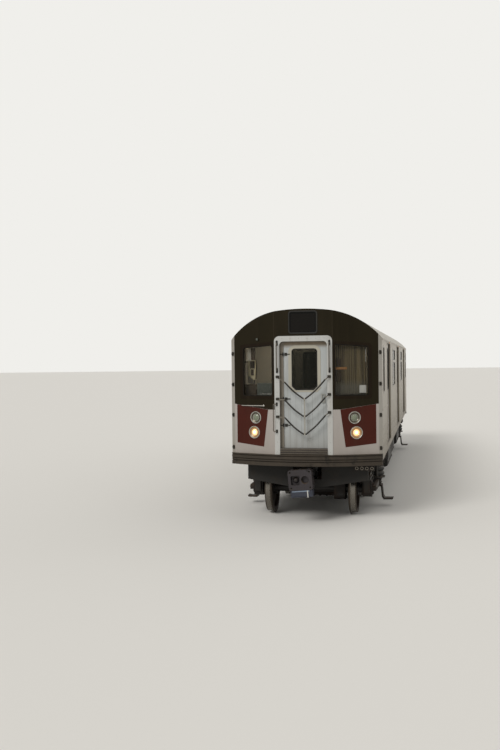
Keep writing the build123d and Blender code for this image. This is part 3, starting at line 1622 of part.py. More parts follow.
# Equipment cases under the floor: x from, x to, y from, y to, lowest z
with BuildPart() as equipment_cases:
    for x0, x1, y0, y1, low in case_table:
        with BuildSketch(Plane.XY.offset(low)):
            with Locations(((x0 + x1) / 2, (y0 + y1) / 2)):
                Rectangle(x1 - x0, y1 - y0)
        extrude(amount=underframe_low_z - low)
        # Lids on the outer side, in equal widths, each second one with louvres
        side = 1 if x1 > -x0 else -1
        face_x = x1 if side > 0 else x0
        lids = max(1, round((y1 - y0) / lid_pitch))
        lid_wide = (y1 - y0) / lids
        lid_mid_z = (low + underframe_low_z) / 2
        with BuildSketch(Plane.YZ.offset(face_x)):
            with Locations(((y0 + y1) / 2, lid_mid_z)):
                with GridLocations(lid_wide, 1, lids, 1):
                    RectangleRounded(lid_wide - lid_gap, underframe_low_z - low - lid_gap, 16)
        extrude(amount=side * lid_proud)
        with BuildSketch(Plane.YZ.offset(face_x)):
            for lid in range(0, lids, 2):
                with Locations((y0 + (lid + 0.5) * lid_wide, lid_mid_z)):
                    with GridLocations(1, slat_pitch, 1, slat_count):
                        Rectangle(lid_wide - 2.5 * lid_gap, slat_pitch / 2)
        extrude(amount=side * (lid_proud + slat_proud))
        # Ribs under the case
        with BuildSketch(Plane.XY.offset(low)):
            with Locations(((x0 + x1) / 2, (y0 + y1) / 2)):
                with GridLocations(1, lid_wide, 1, lids + 1):
                    Rectangle(x1 - x0 - 2 * lid_gap, rib_wide)
        extrude(amount=-rib_high)
equipment_cases.part.label = "equipment_cases"
export_step(equipment_cases.part, "parts/equipment_cases.step")

# Air tanks with their saddles
with BuildPart() as air_tanks:
    for x, y0, y1, radius in tank_table:
        tank_z = underframe_low_z - 40 - radius
        with BuildSketch(cross_plane(y1)):
            with Locations((x, tank_z)):
                Circle(radius)
        extrude(amount=y1 - y0)
        fillet(edges(Select.LAST).filter_by(GeomType.CIRCLE), radius=radius * dish_share)
        with BuildSketch(Plane.XY.offset(tank_z)):
            for y in bearer_stations:
                if y0 < y < y1:
                    with Locations((x, y)):
                        Rectangle(radius, bearer_wide - 20)
        extrude(amount=underframe_low_z - tank_z)
air_tanks.part.label = "air_tanks"
export_step(air_tanks.part, "parts/air_tanks.step")


def frame_outline(inset):
    # Side frame of a truck in side view, moved inwards by inset: it arches over
    # the axle boxes and drops between them for the air spring.
    half = [
        (0, frame_mid_top),
        (frame_drop_y, frame_mid_top),
        (frame_rise_y, frame_end_top),
        (frame_reach, frame_end_top - 25),
        (frame_reach, frame_end_low),
        (frame_rise_y + 60, frame_end_low),
        (frame_drop_y + 60, frame_mid_low),
    ]
    other = [(-y, z) for y, z in reversed(half[1:])]
    with BuildSketch() as outline:
        with BuildLine():
            FilletPolyline(*half[1:], *other, radius=frame_round, close=True)
        make_face()
        if inset:
            offset(amount=-inset)
    return outline.sketch


for station, truck in zip(truck_stations, truck_names):
    # Truck frame: two side frames dished between their flanges, and two transoms
    with BuildPart() as truck_frame:
        for side in (-1, 1):
            with BuildSketch(Plane.YZ.offset(side * frame_x)):
                with Locations((station, 0)):
                    add(frame_outline(0))
            extrude(amount=frame_wide / 2, both=True)
            for face in (-1, 1):
                with BuildSketch(Plane.YZ.offset(side * frame_x + face * frame_wide / 2)):
                    with Locations((station, 0)):
                        add(frame_outline(frame_flange))
                extrude(amount=-face * frame_dish, mode=Mode.SUBTRACT)
            # Pedestal legs each side of the axle boxes, and the shelf of the air spring
            with BuildSketch(Plane.YZ.offset(side * frame_x)):
                for end in (-1, 1):
                    for leg in (-1, 1):
                        leg_y = end * half_wheelbase + leg * (box_half + leg_gap + leg_wide / 2)
                        with Locations((station + leg_y, (leg_low_z + frame_end_low) / 2)):
                            Rectangle(leg_wide, frame_end_low - leg_low_z + 60)
            extrude(amount=frame_wide / 2 - frame_dish, both=True)
            with BuildSketch(Plane.XY.offset(frame_mid_top - shelf_thick)):
                with Locations((side * frame_x, station)):
                    Circle(spring_radius + 15)
                    Rectangle(4 * spring_radius, 2 * shelf_reach, mode=Mode.INTERSECT)
            extrude(amount=shelf_thick)
        with BuildSketch(Plane.YZ):
            with Locations((station - transom_y, transom_z), (station + transom_y, transom_z)):
                Circle(transom_radius)
        extrude(amount=frame_x, both=True)
        # Bolster on the air springs, tapered to its ends, with its centre bowl and
        # side bearings
        with BuildSketch(cross_plane(station + bolster_wide)):
            with BuildLine():
                Polyline(
                    (-bolster_half, bolster_low),
                    (-bolster_half, bolster_end_top),
                    (-bearing_x - 120, bolster_top),
                    (bearing_x + 120, bolster_top),
                    (bolster_half, bolster_end_top),
                    (bolster_half, bolster_low),
                    (bearing_x, bolster_low),
                    (bearing_x - 160, bolster_mid_low),
                    (160 - bearing_x, bolster_mid_low),
                    (-bearing_x, bolster_low),
                    close=True,
                )
            make_face()
        extrude(amount=2 * bolster_wide)
        with BuildSketch(Plane.XY.offset(bolster_top)):
            with Locations((0, station)):
                Circle(centre_radius)
            with Locations((-bearing_x, station), (bearing_x, station)):
                Rectangle(140, 220)
        extrude(amount=centre_plate_z - bolster_top - running_gap)
        # Anchor rods from the ends of the bolster to the side frames
        for side in (-1, 1):
            rod_x = side * anchor_x
            with BuildSketch(cross_plane(station + anchor_long)):
                with Locations((rod_x, anchor_z)):
                    Circle(anchor_radius)
            extrude(amount=anchor_long - bolster_wide + 30)
            with BuildSketch(cross_plane(station + anchor_long + 40)):
                with Locations((side * (frame_x + anchor_x) / 2, anchor_z)):
                    Rectangle(anchor_x - frame_x + 90, 90)
            extrude(amount=40)
            with BuildSketch(Plane.XY.offset(frame_end_top - 30)):
                with Locations((side * frame_x, station + anchor_long + 20)):
                    Rectangle(frame_wide - 40, 40)
            extrude(amount=anchor_z + 45 - frame_end_top + 30)
            with BuildSketch(cross_plane(station + bolster_wide)):
                with Locations((side * (bolster_half + anchor_x) / 2, anchor_z)):
                    Rectangle(anchor_x - bolster_half + 90, 90)
            extrude(amount=40)
    truck_frame.part.label = f"{truck}_truck_frame"
    export_step(truck_frame.part, f"parts/{truck}_truck_frame.step")

    # Springs: bellows of two folds under the bolster, rubber springs over the axle boxes
    with BuildPart() as springs:
        spring_high = bolster_low - frame_mid_top
        for side in (-1, 1):
            plane = Plane(origin=(side * frame_x, station, frame_mid_top), x_dir=(1, 0, 0), z_dir=(0, -1, 0))
            with BuildSketch(plane):
                with BuildLine():
                    base = Polyline((0, 0), (spring_waist, 0), (spring_waist, 14))
                    fold = ThreePointArc(
                        base @ 1, (spring_radius, spring_high * 0.27), (spring_waist, spring_high / 2)
                    )
                    upper = ThreePointArc(
                        fold @ 1, (spring_radius, spring_high * 0.73), (spring_waist, spring_high - 14)
                    )
                    Polyline(upper @ 1, (spring_waist, spring_high), (0, spring_high), (0, 0))
                make_face()
            revolve(axis=Axis((side * frame_x, station, 0), (0, 0, 1)))
        with BuildSketch(Plane.XY.offset(axle_z + box_half)):
            for end in (-1, 1):
                for x in (-frame_x, frame_x):
                    with Locations((x, station + end * half_wheelbase)):
                        RectangleRounded(frame_wide - 20, 220, 20)
        extrude(amount=frame_end_low - axle_z - box_half)
    springs.part.label = f"{truck}_springs"
    export_step(springs.part, f"parts/{truck}_springs.step")

    # Axle boxes with round covers, and tread brakes with their shoes
    with BuildPart() as axle_boxes:
        for side in (-1, 1):
            for end in (-1, 1):
                axle_y = station + end * half_wheelbase
                with BuildSketch(Plane.YZ.offset(side * (frame_x - box_wide / 2))):
                    with Locations((axle_y, axle_z)):
                        Circle(box_radius)
                    with Locations((axle_y, axle_z + box_half / 2)):
                        Rectangle(2 * box_half, box_half)
                extrude(amount=side * box_wide)
                with BuildSketch(Plane.YZ.offset(side * (frame_x + box_wide / 2))):
                    with Locations((axle_y, axle_z)):
                        Circle(box_cover_radius)
                extrude(amount=side * box_cover_deep)
                with BuildSketch(Plane.YZ.offset(side * (frame_x - box_wide / 2))):
                    with Locations((axle_y, axle_z)):
                        Circle(journal_radius + running_gap)
                extrude(amount=side * (box_wide - 25), mode=Mode.SUBTRACT)
                brake_mid_y = station + end * brake_y
                with BuildSketch(Plane.YZ.offset(side * brake_in_x)):
                    with Locations((brake_mid_y, brake_z)):
                        RectangleRounded(brake_long, brake_high, 40)
                extrude(amount=side * (frame_x - frame_wide / 2 - brake_in_x))
                with BuildSketch(Plane.XY.offset(brake_z)):
                    with Locations((side * (brake_in_x + frame_x - frame_wide / 2) / 2, brake_mid_y)):
                        Circle(brake_can_radius)
                extrude(amount=brake_can_high)
                with BuildSketch(Plane.YZ.offset(side * shoe_in_x)):
                    with Locations((station + end * (brake_y + brake_long / 2 + 45), axle_z + 40)):
                        Rectangle(90, 220)
                    with Locations((axle_y, axle_z)):
                        Circle(wheel_radius + shoe_clear, mode=Mode.SUBTRACT)
                extrude(amount=side * shoe_wide)
    axle_boxes.part.label = f"{truck}_axle_boxes"
    export_step(axle_boxes.part, f"parts/{truck}_axle_boxes.step")

    # Traction motors with ribbed shells, each with its gear case round the axle
    with BuildPart() as motors:
        for end in (-1, 1):
            axle_y = station + end * half_wheelbase
            motor_at = station + end * motor_y
            motor_long = motor_span[1] - motor_span[0]
            with BuildSketch(Plane.YZ.offset(end * motor_span[0])):
                with Locations((motor_at, motor_z)):
                    Circle(motor_radius - motor_rib)
            extrude(amount=end * motor_long)
            for rib in range(motor_ribs):
                rib_x = motor_span[0] + motor_long * (0.08 + 0.84 * rib / (motor_ribs - 1))
                with BuildSketch(Plane.YZ.offset(end * (rib_x - motor_rib_wide / 2))):
                    with Locations((motor_at, motor_z)):
                        Circle(motor_radius)
                extrude(amount=end * motor_rib_wide)
            with BuildSketch(Plane.YZ.offset(end * gear_x[0])):
                with BuildLine():
                    FilletPolyline(
                        (axle_y + end * 180, axle_z - 200),
                        (axle_y + end * 180, axle_z + 200),
                        (motor_at - end * 130, motor_z + 150),
                        (motor_at - end * 130, motor_z - 130),
                        radius=90,
                        close=True,
                    )
                make_face()
                with Locations((axle_y, axle_z)):
                    Circle(axle_radius + axle_clear, mode=Mode.SUBTRACT)
            extrude(amount=end * (gear_x[1] - gear_x[0]))
            with BuildSketch(Plane.YZ.offset(end * gear_x[1])):
                with Locations((motor_at, motor_z)):
                    Circle(80)
            extrude(amount=end * (motor_span[0] - gear_x[1]))
            with BuildSketch(Plane.YZ.offset(end * motor_span[0] * 0.5)):
                with Locations((station + end * (lug_from + lug_to) / 2, motor_z)):
                    Rectangle(lug_to - lug_from, 90)
            extrude(amount=end * 220)
        with BuildSketch(Plane.YZ):
            with Locations((station - transom_y, transom_z), (station + transom_y, transom_z)):
                Circle(transom_radius)
        extrude(amount=frame_x, both=True, mode=Mode.SUBTRACT)
    motors.part.label = f"{truck}_motors"
    export_step(motors.part, f"parts/{truck}_motors.step")

    # Current collectors: a beam between the axle boxes, carrying an arm with its paddle
    with BuildPart() as shoe_gear:
        beam_x = frame_x + box_wide / 2 + box_cover_deep
        for side in (-1, 1):
            with BuildSketch(Plane.YZ.offset(side * beam_x)):
                with BuildLine():
                    FilletPolyline(
                        (station - beam_half, axle_z - 35),
                        (station - 300, axle_z - 75),
                        (station + 300, axle_z - 75),
                        (station + beam_half, axle_z - 35),
                        (station + beam_half, axle_z + 55),
                        (station - beam_half, axle_z + 55),
                        radius=25,
                        close=True,
                    )
                make_face()
            extrude(amount=side * beam_thick)
            with BuildSketch(Plane.YZ.offset(side * (beam_x + beam_thick))):
                with Locations((station, axle_z - 20)):
                    RectangleRounded(240, 150, 15)
            extrude(amount=side * 30)
            with BuildSketch(cross_plane(station + paddle_half)):
                with BuildLine():
                    arm_x = beam_x + beam_thick + 30
                    Polyline(
                        (side * arm_x, axle_z - 60),
                        (side * (arm_x + 28), axle_z - 60),
                        (side * (paddle_x0 + 90), paddle_z + 70),
                        (side * (paddle_x0 + 120), paddle_z + 24),
                        (side * (paddle_x1 - 12), paddle_z + 24),
                        (side * paddle_x1, paddle_z + 36),
                        (side * paddle_x1, paddle_z + 14),
                        (side * (paddle_x1 - 16), paddle_z),
                        (side * (paddle_x0 + 90), paddle_z),
                        (side * (paddle_x0 + 60), paddle_z + 50),
                        (side * arm_x, axle_z - 110),
                        close=True,
                    )
                make_face()
            extrude(amount=2 * paddle_half)
    shoe_gear.part.label = f"{truck}_shoe_gear"
    export_step(shoe_gear.part, f"parts/{truck}_shoe_gear.step")

    # Wheelsets: axle and two wheels turned in one outline
    for end, end_name in ((-1, "lead"), (1, "trail")):
        axle_y = station + end * half_wheelbase
        with BuildPart() as wheelset:
            with BuildSketch(Plane(origin=(0, axle_y, axle_z), x_dir=(1, 0, 0), z_dir=(0, -1, 0))):
                with BuildLine():
                    Polyline(*wheel_outline(), close=True)
                make_face()
                mirror(about=Plane.YZ)
            revolve(axis=Axis((0, axle_y, axle_z), (1, 0, 0)))
        wheelset.part.label = f"{truck}_{end_name}_wheelset"
        export_step(wheelset.part, f"parts/{truck}_{end_name}_wheelset.step")
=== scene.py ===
from itertools import product
from math import atan2, cos, pi, radians, sin

import bmesh
import bpy
from mathutils import Matrix, Vector


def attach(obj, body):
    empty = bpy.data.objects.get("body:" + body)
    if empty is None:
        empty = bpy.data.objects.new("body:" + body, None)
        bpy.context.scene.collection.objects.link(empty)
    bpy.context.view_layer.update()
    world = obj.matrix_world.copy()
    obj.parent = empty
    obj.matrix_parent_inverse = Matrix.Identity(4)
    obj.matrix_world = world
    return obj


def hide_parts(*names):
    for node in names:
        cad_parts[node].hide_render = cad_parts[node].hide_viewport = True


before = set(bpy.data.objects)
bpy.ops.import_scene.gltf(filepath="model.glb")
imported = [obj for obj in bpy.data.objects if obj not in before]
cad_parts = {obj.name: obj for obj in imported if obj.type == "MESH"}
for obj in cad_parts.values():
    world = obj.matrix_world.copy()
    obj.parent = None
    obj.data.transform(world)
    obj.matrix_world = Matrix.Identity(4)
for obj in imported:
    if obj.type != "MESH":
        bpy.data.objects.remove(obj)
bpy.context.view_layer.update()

# Sizes in metres, nearly all of which the construction has too. X is across the car,
# Y runs from the cab end (-Y) to the blind end, and Z is up from the tips of the flanges.
half_width = 1.310
nose_y = -7.650
tail_y = 7.650
corner_x = 1.250
nose_flat = 0.500
nose_sweep = 0.275
inner_x = 1.210
floor_z = 1.178
door_stations = (-4.900, 0.0, 4.900)
door_head_z = 3.083
leaf_x = 1.254
leaf_face = 0.018
leaf_gap = 0.0025
leaf_pane_y = 0.34375
leaf_pane = (0.380, 2.188, 2.988, 0.050)  # width, low, high, corner
saloon_windows = ((-2.450, 1.370), (2.450, 1.370), (6.800, 0.570))  # middle and width
window_z = (2.178, 3.018)  # sill and head
portal_face = nose_y - 0.012
door_face = -7.5745
door_window_x = 0.012
door_window = (0.444, 2.263, 2.975, 0.066)  # width, low, high, cut
screen_from_y = -7.290  # the windscreens are ahead of this
screens = ((0.529, 2.165), (1.089, 2.165), (1.089, 3.006), (0.529, 3.046))  # x, z of their corners
wiper_at = (0.700, 2.000)  # from the middle, and z
trucks = (("front", -5.485), ("rear", 5.485))
half_wheelbase = 1.040
axle_z = 0.460
wheel_radius = 0.432
ceiling_z = 3.258
saloon_y = (-6.150, 7.350)  # where the saloon's lights and cards begin and end
benches = ((-3.950, -0.950), (0.950, 3.950), (5.900, 7.500))  # from and to, along the car
unit_stations = (-5.600, 5.600)
fan_reach = 0.560
sweep = atan2(nose_sweep, corner_x - nose_flat)
lamps = ((0.850, 1.796, 0.108), (0.879, 1.540, 0.110))  # x, z, radius
lens_share = 0.48  # of the lamp's radius
coupler_z = 0.758
coupler_pivot = 6.960
coupler_reach = 0.85198
coupler_hang = -3.3  # degrees
coupler_roll = 5  # degrees
cab_window_y = -6.790
cases = (  # x from and to, y from and to, lowest z
    (0.200, 1.190, -3.400, -1.400, 0.498),
    (-1.190, -0.420, -3.300, -2.100, 0.588),
    (-1.190, -0.300, -1.900, -0.300, 0.528),
    (0.350, 1.190, -1.150, -0.100, 0.568),
    (-1.190, -0.250, 0.100, 1.900, 0.498),
    (0.250, 1.190, 1.500, 3.300, 0.528),
)
tanks = (  # x, y from and to, radius
    (0.620, -0.080, 1.350, 0.180),
    (1.010, -0.080, 1.350, 0.150),
    (-0.700, 2.280, 3.720, 0.190),
)
bracket_heights = {-1: (2.496, 2.119, 1.816), 1: (2.496, 2.196, 1.893)}  # by side


class Value:
    """A value in a node tree. Its operators add the nodes for the maths."""

    def __init__(self, graph, socket):
        self.graph = graph
        self.socket = socket

    def __add__(self, other):
        return self.graph.maths("ADD", self, other)

    def __sub__(self, other):
        return self.graph.maths("SUBTRACT", self, other)

    def __rsub__(self, other):
        return self.graph.maths("SUBTRACT", other, self)

    def __mul__(self, other):
        return self.graph.maths("MULTIPLY", self, other)

    def __truediv__(self, other):
        return self.graph.maths("DIVIDE", self, other)

    def __pow__(self, other):
        return self.graph.maths("POWER", self, other)

    def __gt__(self, other):
        return self.graph.maths("GREATER_THAN", self, other)

    def __lt__(self, other):
        return self.graph.maths("LESS_THAN", self, other)

    __radd__ = __add__
    __rmul__ = __mul__


class Graph:
    """A node tree that is filled from nothing."""

    def __init__(self, tree):
        self.tree = tree
        tree.nodes.clear()

    def node(self, kind, settings=None, values=None, out=0):
        """Adds a node: its settings first, then the values or links of its sockets."""
        node = self.tree.nodes.new(kind)
        for name, value in (settings or {}).items():
            setattr(node, name, value)
        for name, value in (values or {}).items():
            if isinstance(value, Value):
                self.tree.links.new(value.socket, node.inputs[name])
            else:
                node.inputs[name].default_value = value
        return None if out is None else Value(self, node.outputs[out])

    def maths(self, operation, *terms):
        return self.node("ShaderNodeMath", {"operation": operation}, dict(enumerate(terms)))


class Finish(Graph):
    """One finish: a material whose patterns read the piece's own coordinates."""

    def __init__(self, name):
        self.material = bpy.data.materials.new(name)
        self.material.use_nodes = True
        super().__init__(self.material.node_tree)
        self.place = self.node("ShaderNodeTexCoord", out="Object")
        self.x = self.node("ShaderNodeSeparateXYZ", values={"Vector": self.place}, out="X")
        self.y = Value(self, self.x.socket.node.outputs["Y"])
        self.z = Value(self, self.x.socket.node.outputs["Z"])

    def stretched(self, scale):
        """The piece's coordinates times a scale for each direction."""
        values = {"Vector": self.place, "Scale": scale}
        return self.node("ShaderNodeMapping", {"vector_type": "POINT"}, values)

    def cloud(self, scale, detail=4.0, rough=0.55, stretch=(1, 1, 1)):
        """Soft noise from 0 to 1, with scale features a metre."""
        return self.node(
            "ShaderNodeTexNoise",
            {"noise_dimensions": "3D"},
            {"Vector": self.stretched(stretch), "Scale": scale, "Detail": detail, "Roughness": rough},
        )

    def cells(self, scale, out="Distance", stretch=(1, 1, 1)):
        return self.node("ShaderNodeTexVoronoi", {}, {"Vector": self.stretched(stretch), "Scale": scale}, out)

    def step(self, value, low, high, smooth=True):
        """0 below low and 1 above high, smooth between. With low above high it falls."""
        return self.node(
            "ShaderNodeMapRange",
            {"interpolation_type": "SMOOTHSTEP" if smooth else "LINEAR"},
            {"Value": value, "From Min": low, "From Max": high, "To Min": 0.0, "To Max": 1.0},
        )

    def band(self, value, low, high, soft):
        """1 between low and high."""
        return self.step(value, low - soft, low) * self.step(value, high + soft, high)

    def line(self, value, middle, half, soft=0.0006):
        """1 within half of middle, such as a seam."""
        return self.step(self.maths("ABSOLUTE", value - middle), half + soft, half)

    def mix(self, factor, first, second):
        """One colour over another."""
        return self.node(
            "ShaderNodeMix",
            {"data_type": "RGBA", "clamp_factor": True},
            {0: factor, 6: colour_of(first), 7: colour_of(second)},
            2,
        )

    def upward(self):
        """How far the surface faces up, from 0 to 1."""
        facing = self.node("ShaderNodeTexCoord", out="Normal")
        height = self.node("ShaderNodeSeparateXYZ", values={"Vector": facing}, out="Z")
        return self.maths("MAXIMUM", height, 0.0)

    def relief(self, height, distance, strength=1.0):
        values = {"Height": height, "Distance": distance, "Strength": strength}
        return self.node("ShaderNodeBump", {}, values)

    def surface(self, **values):
        """The shader itself. Words in the values stand for its sockets' names."""
        sockets = {}
        for word, value in values.items():
            name = word.replace("_", " ").title().replace("Ior", "IOR")
            sockets[name] = colour_of(value) if name.endswith("Color") else value
        shader = self.node("ShaderNodeBsdfPrincipled", {}, sockets)
        self.node("ShaderNodeOutputMaterial", {}, {"Surface": shader}, None)
        return self.material


def colour_of(colour):
    """A colour given as 0 to 255 on screen, as the shader's own numbers."""
    if isinstance(colour, Value):
        return colour
    linear = []
    for part in colour:
        part = part / 255
        linear.append(part / 12.92 if part <= 0.04045 else ((part + 0.055) / 1.055) ** 2.4)
    return (*linear, 1.0)


def shaded(colour, share, lift=0):
    """A colour made darker or paler."""
    return tuple(min(255, part * share + lift) for part in colour)


# Finishes
def brushed_steel(name, pale, dark, along, rough=0.34, metal=0.78, soil=(92, 80, 64), lining=None):
    """Brushed stainless sheet, with its grain along one direction and road film low down.
    Behind lining, a distance from the car's middle, it is pale panelling."""
    f = Finish(name)
    grain_stretch = [140, 140, 140]
    grain_stretch["xyz".index(along)] = 1.4
    grain = f.cloud(5, 3, 0.6, grain_stretch)
    sheet = f.cloud(0.8, 3)
    wash = f.cloud(3.0, 5, 0.6, (1, 1, 0.12))
    low_film = f.step(f.z + wash * 0.9, 2.45, 1.15)
    high_film = f.step(f.z, 2.95, 3.14) * wash
    film = low_film * 0.55 + high_film * 0.4
    steel = f.mix(grain * 0.5 + sheet * 0.5, dark, pale)
    colour = f.mix(film * 0.75, steel, soil)
    rub = f.step(f.cloud(22, 3, 0.7, (1, 1, 0.3)), 0.62, 0.78)
    shine = metal - film * 0.35
    if lining:
        panel_pitch = 1.225
        within = f.step(f.maths("ABSOLUTE", f.x), lining + 0.0010, lining + 0.0004)
        joint = f.line(f.maths("FRACT", f.y / panel_pitch), 0.5, 0.0016, 0.0006)
        panel = f.mix(f.cloud(2.0, 3), (176, 172, 160), (194, 190, 180))
        panel = f.mix(joint, panel, (60, 58, 54))
        colour = f.mix(within, colour, panel)
        shine = shine * (1 - within)
    return f.surface(
        base_color=colour,
        metallic=shine,
        roughness=rough + film * 0.22 + grain * 0.08 + rub * 0.05,
        normal=f.relief(grain, 0.0004, 0.45),
    )


def sprayed_paint(
    name, colour, soil, rough, soiling, metal=0.0, coat=0.0, seams_and_highlights=(), grain=260, ior=1.45
):
    """Sprayed enamel: orange peel, streaks that run down from the rain, dust on top, chips."""
    f = Finish(name)
    peel = f.cloud(grain, 2)
    fade = f.cloud(1.6, 4)
    runs = f.cloud(9, 5, 0.62, (1, 1, 0.07))
    dust = f.upward() * f.step(f.cloud(14, 4), 0.25, 0.75)
    dirt = f.step(runs, 0.48, 0.80) * soiling + dust * soiling
    paint = f.mix(fade, shaded(colour, 0.80), shaded(colour, 1.10, 3))
    chips = f.step(f.cells(34), 0.045, 0.03) * f.step(fade, 0.55, 0.75)
    paint = f.mix(dirt, paint, soil)
    paint = f.mix(chips * 0.7, paint, shaded(colour, 0.55))
    height = peel * 0.25 - chips * 0.5
    # Lines along the seams, sunk a little: dark joints on the roof, and on the mask a paler line, a painted
    # highlight along the knee between its facets.
    for value, middle, shade in seams_and_highlights:
        gap = f.line(f.maths("ABSOLUTE", getattr(f, value)), middle, 0.0022)
        paint = f.mix(gap * 0.85, paint, shade)
        height = height - gap * 2.0
    return f.surface(
        base_color=paint,
        metallic=metal,
        roughness=rough + dirt * 0.28 + peel * 0.05,
        ior=ior,
        coat_weight=coat,
        coat_roughness=0.08,
        normal=f.relief(height, 0.0006, 0.6),
    )


def soiled_iron(name, colour, dust_colour, rust, rough, lean, metal=0.1):
    """Painted iron under the car: brake dust on top and in patches, rust spots, oil."""
    f = Finish(name)
    cast = f.cloud(140, 3, 0.65)
    patch = f.cloud(6, 5, 0.6)
    small = f.cloud(48, 4, 0.6)
    settled = f.upward() * f.step(patch, 0.22, 0.62)
    dust = settled * 0.75 + f.step(patch, 0.46, 0.80) * lean
    oil = f.step(f.cloud(4.2, 3), 0.60, 0.72)
    rusty = f.step(small, 0.63, 0.74) * rust
    base = f.mix(f.cloud(2.2, 3), shaded(colour, 0.75), shaded(colour, 1.2))
    base = f.mix(dust, base, dust_colour)
    base = f.mix(rusty, base, (112, 58, 30))
    base = f.mix(oil * 0.55, base, (14, 12, 10))
    return f.surface(
        base_color=base,
        metallic=metal,
        roughness=rough + dust * 0.25 - oil * 0.30,
        normal=f.relief(cast * 0.6 + small * 0.4, 0.0012, 0.5),
    )


def turned_wheel(name, axle_y):
    """A wheel: a bright worn tread, a dusty web with turned rings, and an oiled hub."""
    f = Finish(name)
    out_y = f.y - axle_y
    out_z = f.z - axle_z
    radius = f.maths("SQRT", out_y * out_y + out_z * out_z)
    across = f.maths("ABSOLUTE", f.x)
    tread = f.step(radius, wheel_radius - 0.010, wheel_radius - 0.004) * f.band(across, 0.668, 0.818, 0.004)
    worn = tread * f.band(across, 0.715, 0.795, 0.006)
    turning = f.maths("SINE", radius * 2200)
    dust = f.step(f.cloud(7, 5, 0.6), 0.30, 0.75)
    grease = f.step(radius, 0.17, 0.12)
    face = f.mix(dust, (40, 34, 29), (66, 53, 41))
    face = f.mix(grease * 0.8, face, (18, 16, 14))
    rim = f.band(radius, wheel_radius - 0.066, wheel_radius - 0.012, 0.004) * 0.55
    face = f.mix(rim, face, (60, 51, 43))
    colour = f.mix(tread * 0.9, face, (84, 76, 67))
    colour = f.mix(worn, colour, (140, 135, 127))
    streak = f.cloud(60, 2, 0.5, (1, 0.2, 0.2))
    return f.surface(
        base_color=colour,
        metallic=tread * 0.9 + rim * 0.4,
        roughness=0.62 - tread * 0.26 - worn * 0.14 - grease * 0.2 + streak * 0.1,
        normal=f.relief(turning * 0.25 + f.cloud(120, 3), 0.0005, 0.5),
    )


def moulded_rubber(name, colour=(26, 25, 24), dust_colour=(104, 94, 80), rough=0.62, rib_rate=0):
    """Black rubber with a bloom of dust. A rib rate, in radians a metre, ribs it up its height."""
    f = Finish(name)
    bloom = f.cloud(9, 5, 0.6)
    fine = f.cloud(320, 2)
    dust = f.upward() * f.step(bloom, 0.25, 0.7) * 0.55 + f.step(bloom, 0.5, 0.85) * 0.3
    height = fine * 0.3
    if rib_rate:
        height = height + f.maths("SINE", f.z * rib_rate) * 0.5
    return f.surface(
        base_color=f.mix(dust, colour, dust_colour),
        roughness=rough + dust * 0.2 - fine * 0.05,
        normal=f.relief(height, 0.0006, 0.6),
    )


def polished_tube(name, colour, rough):
    """Polished tube, smeared where hands hold it."""
    f = Finish(name)
    smear = f.step(f.cloud(11, 4, 0.6), 0.42, 0.72)
    scratch = f.cloud(8, 2, 0.5, (60, 60, 2))
    return f.surface(
        base_color=f.mix(smear * 0.35, colour, (150, 142, 130)),
        metallic=0.95,
        roughness=rough + smear * 0.20 + scratch * 0.05,
        normal=f.relief(scratch, 0.0002, 0.4),
    )


def moulded_plastic(name, colour, rough, speck, grain=420):
    """Moulded plastic with a fine leather grain, scuffs and a few specks."""
    f = Finish(name)
    leather = f.cells(grain)
    scuff = f.step(f.cloud(26, 4, 0.65, (1, 0.3, 1)), 0.60, 0.74)
    fleck = f.step(f.cloud(230, 2), 0.64, 0.70) * speck
    base = f.mix(f.cloud(2.5, 3), shaded(colour, 0.93), colour)
    base = f.mix(fleck, base, (60, 60, 62))
    base = f.mix(scuff * 0.18, base, shaded(colour, 0.7))
    return f.surface(
        base_color=base,
        roughness=rough - scuff * 0.1 + leather * 0.08,
        normal=f.relief(leather, 0.0003, 0.5),
    )


def window_pane(name, tint, see_through, front_clear=0.0, ior=1.6):
    """Tinted safety glass with a film of dust along its lower edge. The windscreens are clearer."""
    f = Finish(name)
    ahead = f.y < screen_from_y
    film = f.step(f.z + f.cloud(5, 4) * 0.35, 2.62, 2.28) * 0.5 + f.cloud(3, 5, 0.6, (1, 1, 0.15)) * 0.25
    film = film * (1 - ahead)
    return f.surface(
        base_color=f.mix(film * 0.6, tint, (150, 140, 122)),
        roughness=0.03 + film * 0.18,
        ior=ior,
        coat_weight=0.6 * (1 - ahead),
        coat_roughness=0.02,
        alpha=film * 0.30 + (1 - see_through) - ahead * front_clear,
    )


def lamp_reach(f, lower):
    """Distance from the middle of the nearer upper or lower lamp, over that lamp's radius."""
    x, z, radius = lamps[lower]
    out_u = (f.maths("ABSOLUTE", f.x) - x) / cos(sweep)
    out_z = f.z - z
    return f.maths("SQRT", out_u * out_u + out_z * out_z) / radius


def lamp_bowl(name, lower):
    """Ribbed dish between the bezel and the lens. The lower lamps are lit."""
    f = Finish(name)
    reach = lamp_reach(f, lower)
    tarnish = f.cloud(60, 3)
    colour = f.mix(tarnish, (74, 70, 60), (116, 110, 96))
    near = f.step(reach, 0.95, 0.50)
    glow = f.mix(near, (84, 52, 22), (222, 160, 88))
    return f.surface(
        base_color=colour,
        metallic=0.75,
        roughness=0.30 + tarnish * 0.12,
        emission_color=glow,
        emission_strength=0.60 if lower else 0.0,
        normal=f.relief(tarnish, 0.0002, 0.4),
    )


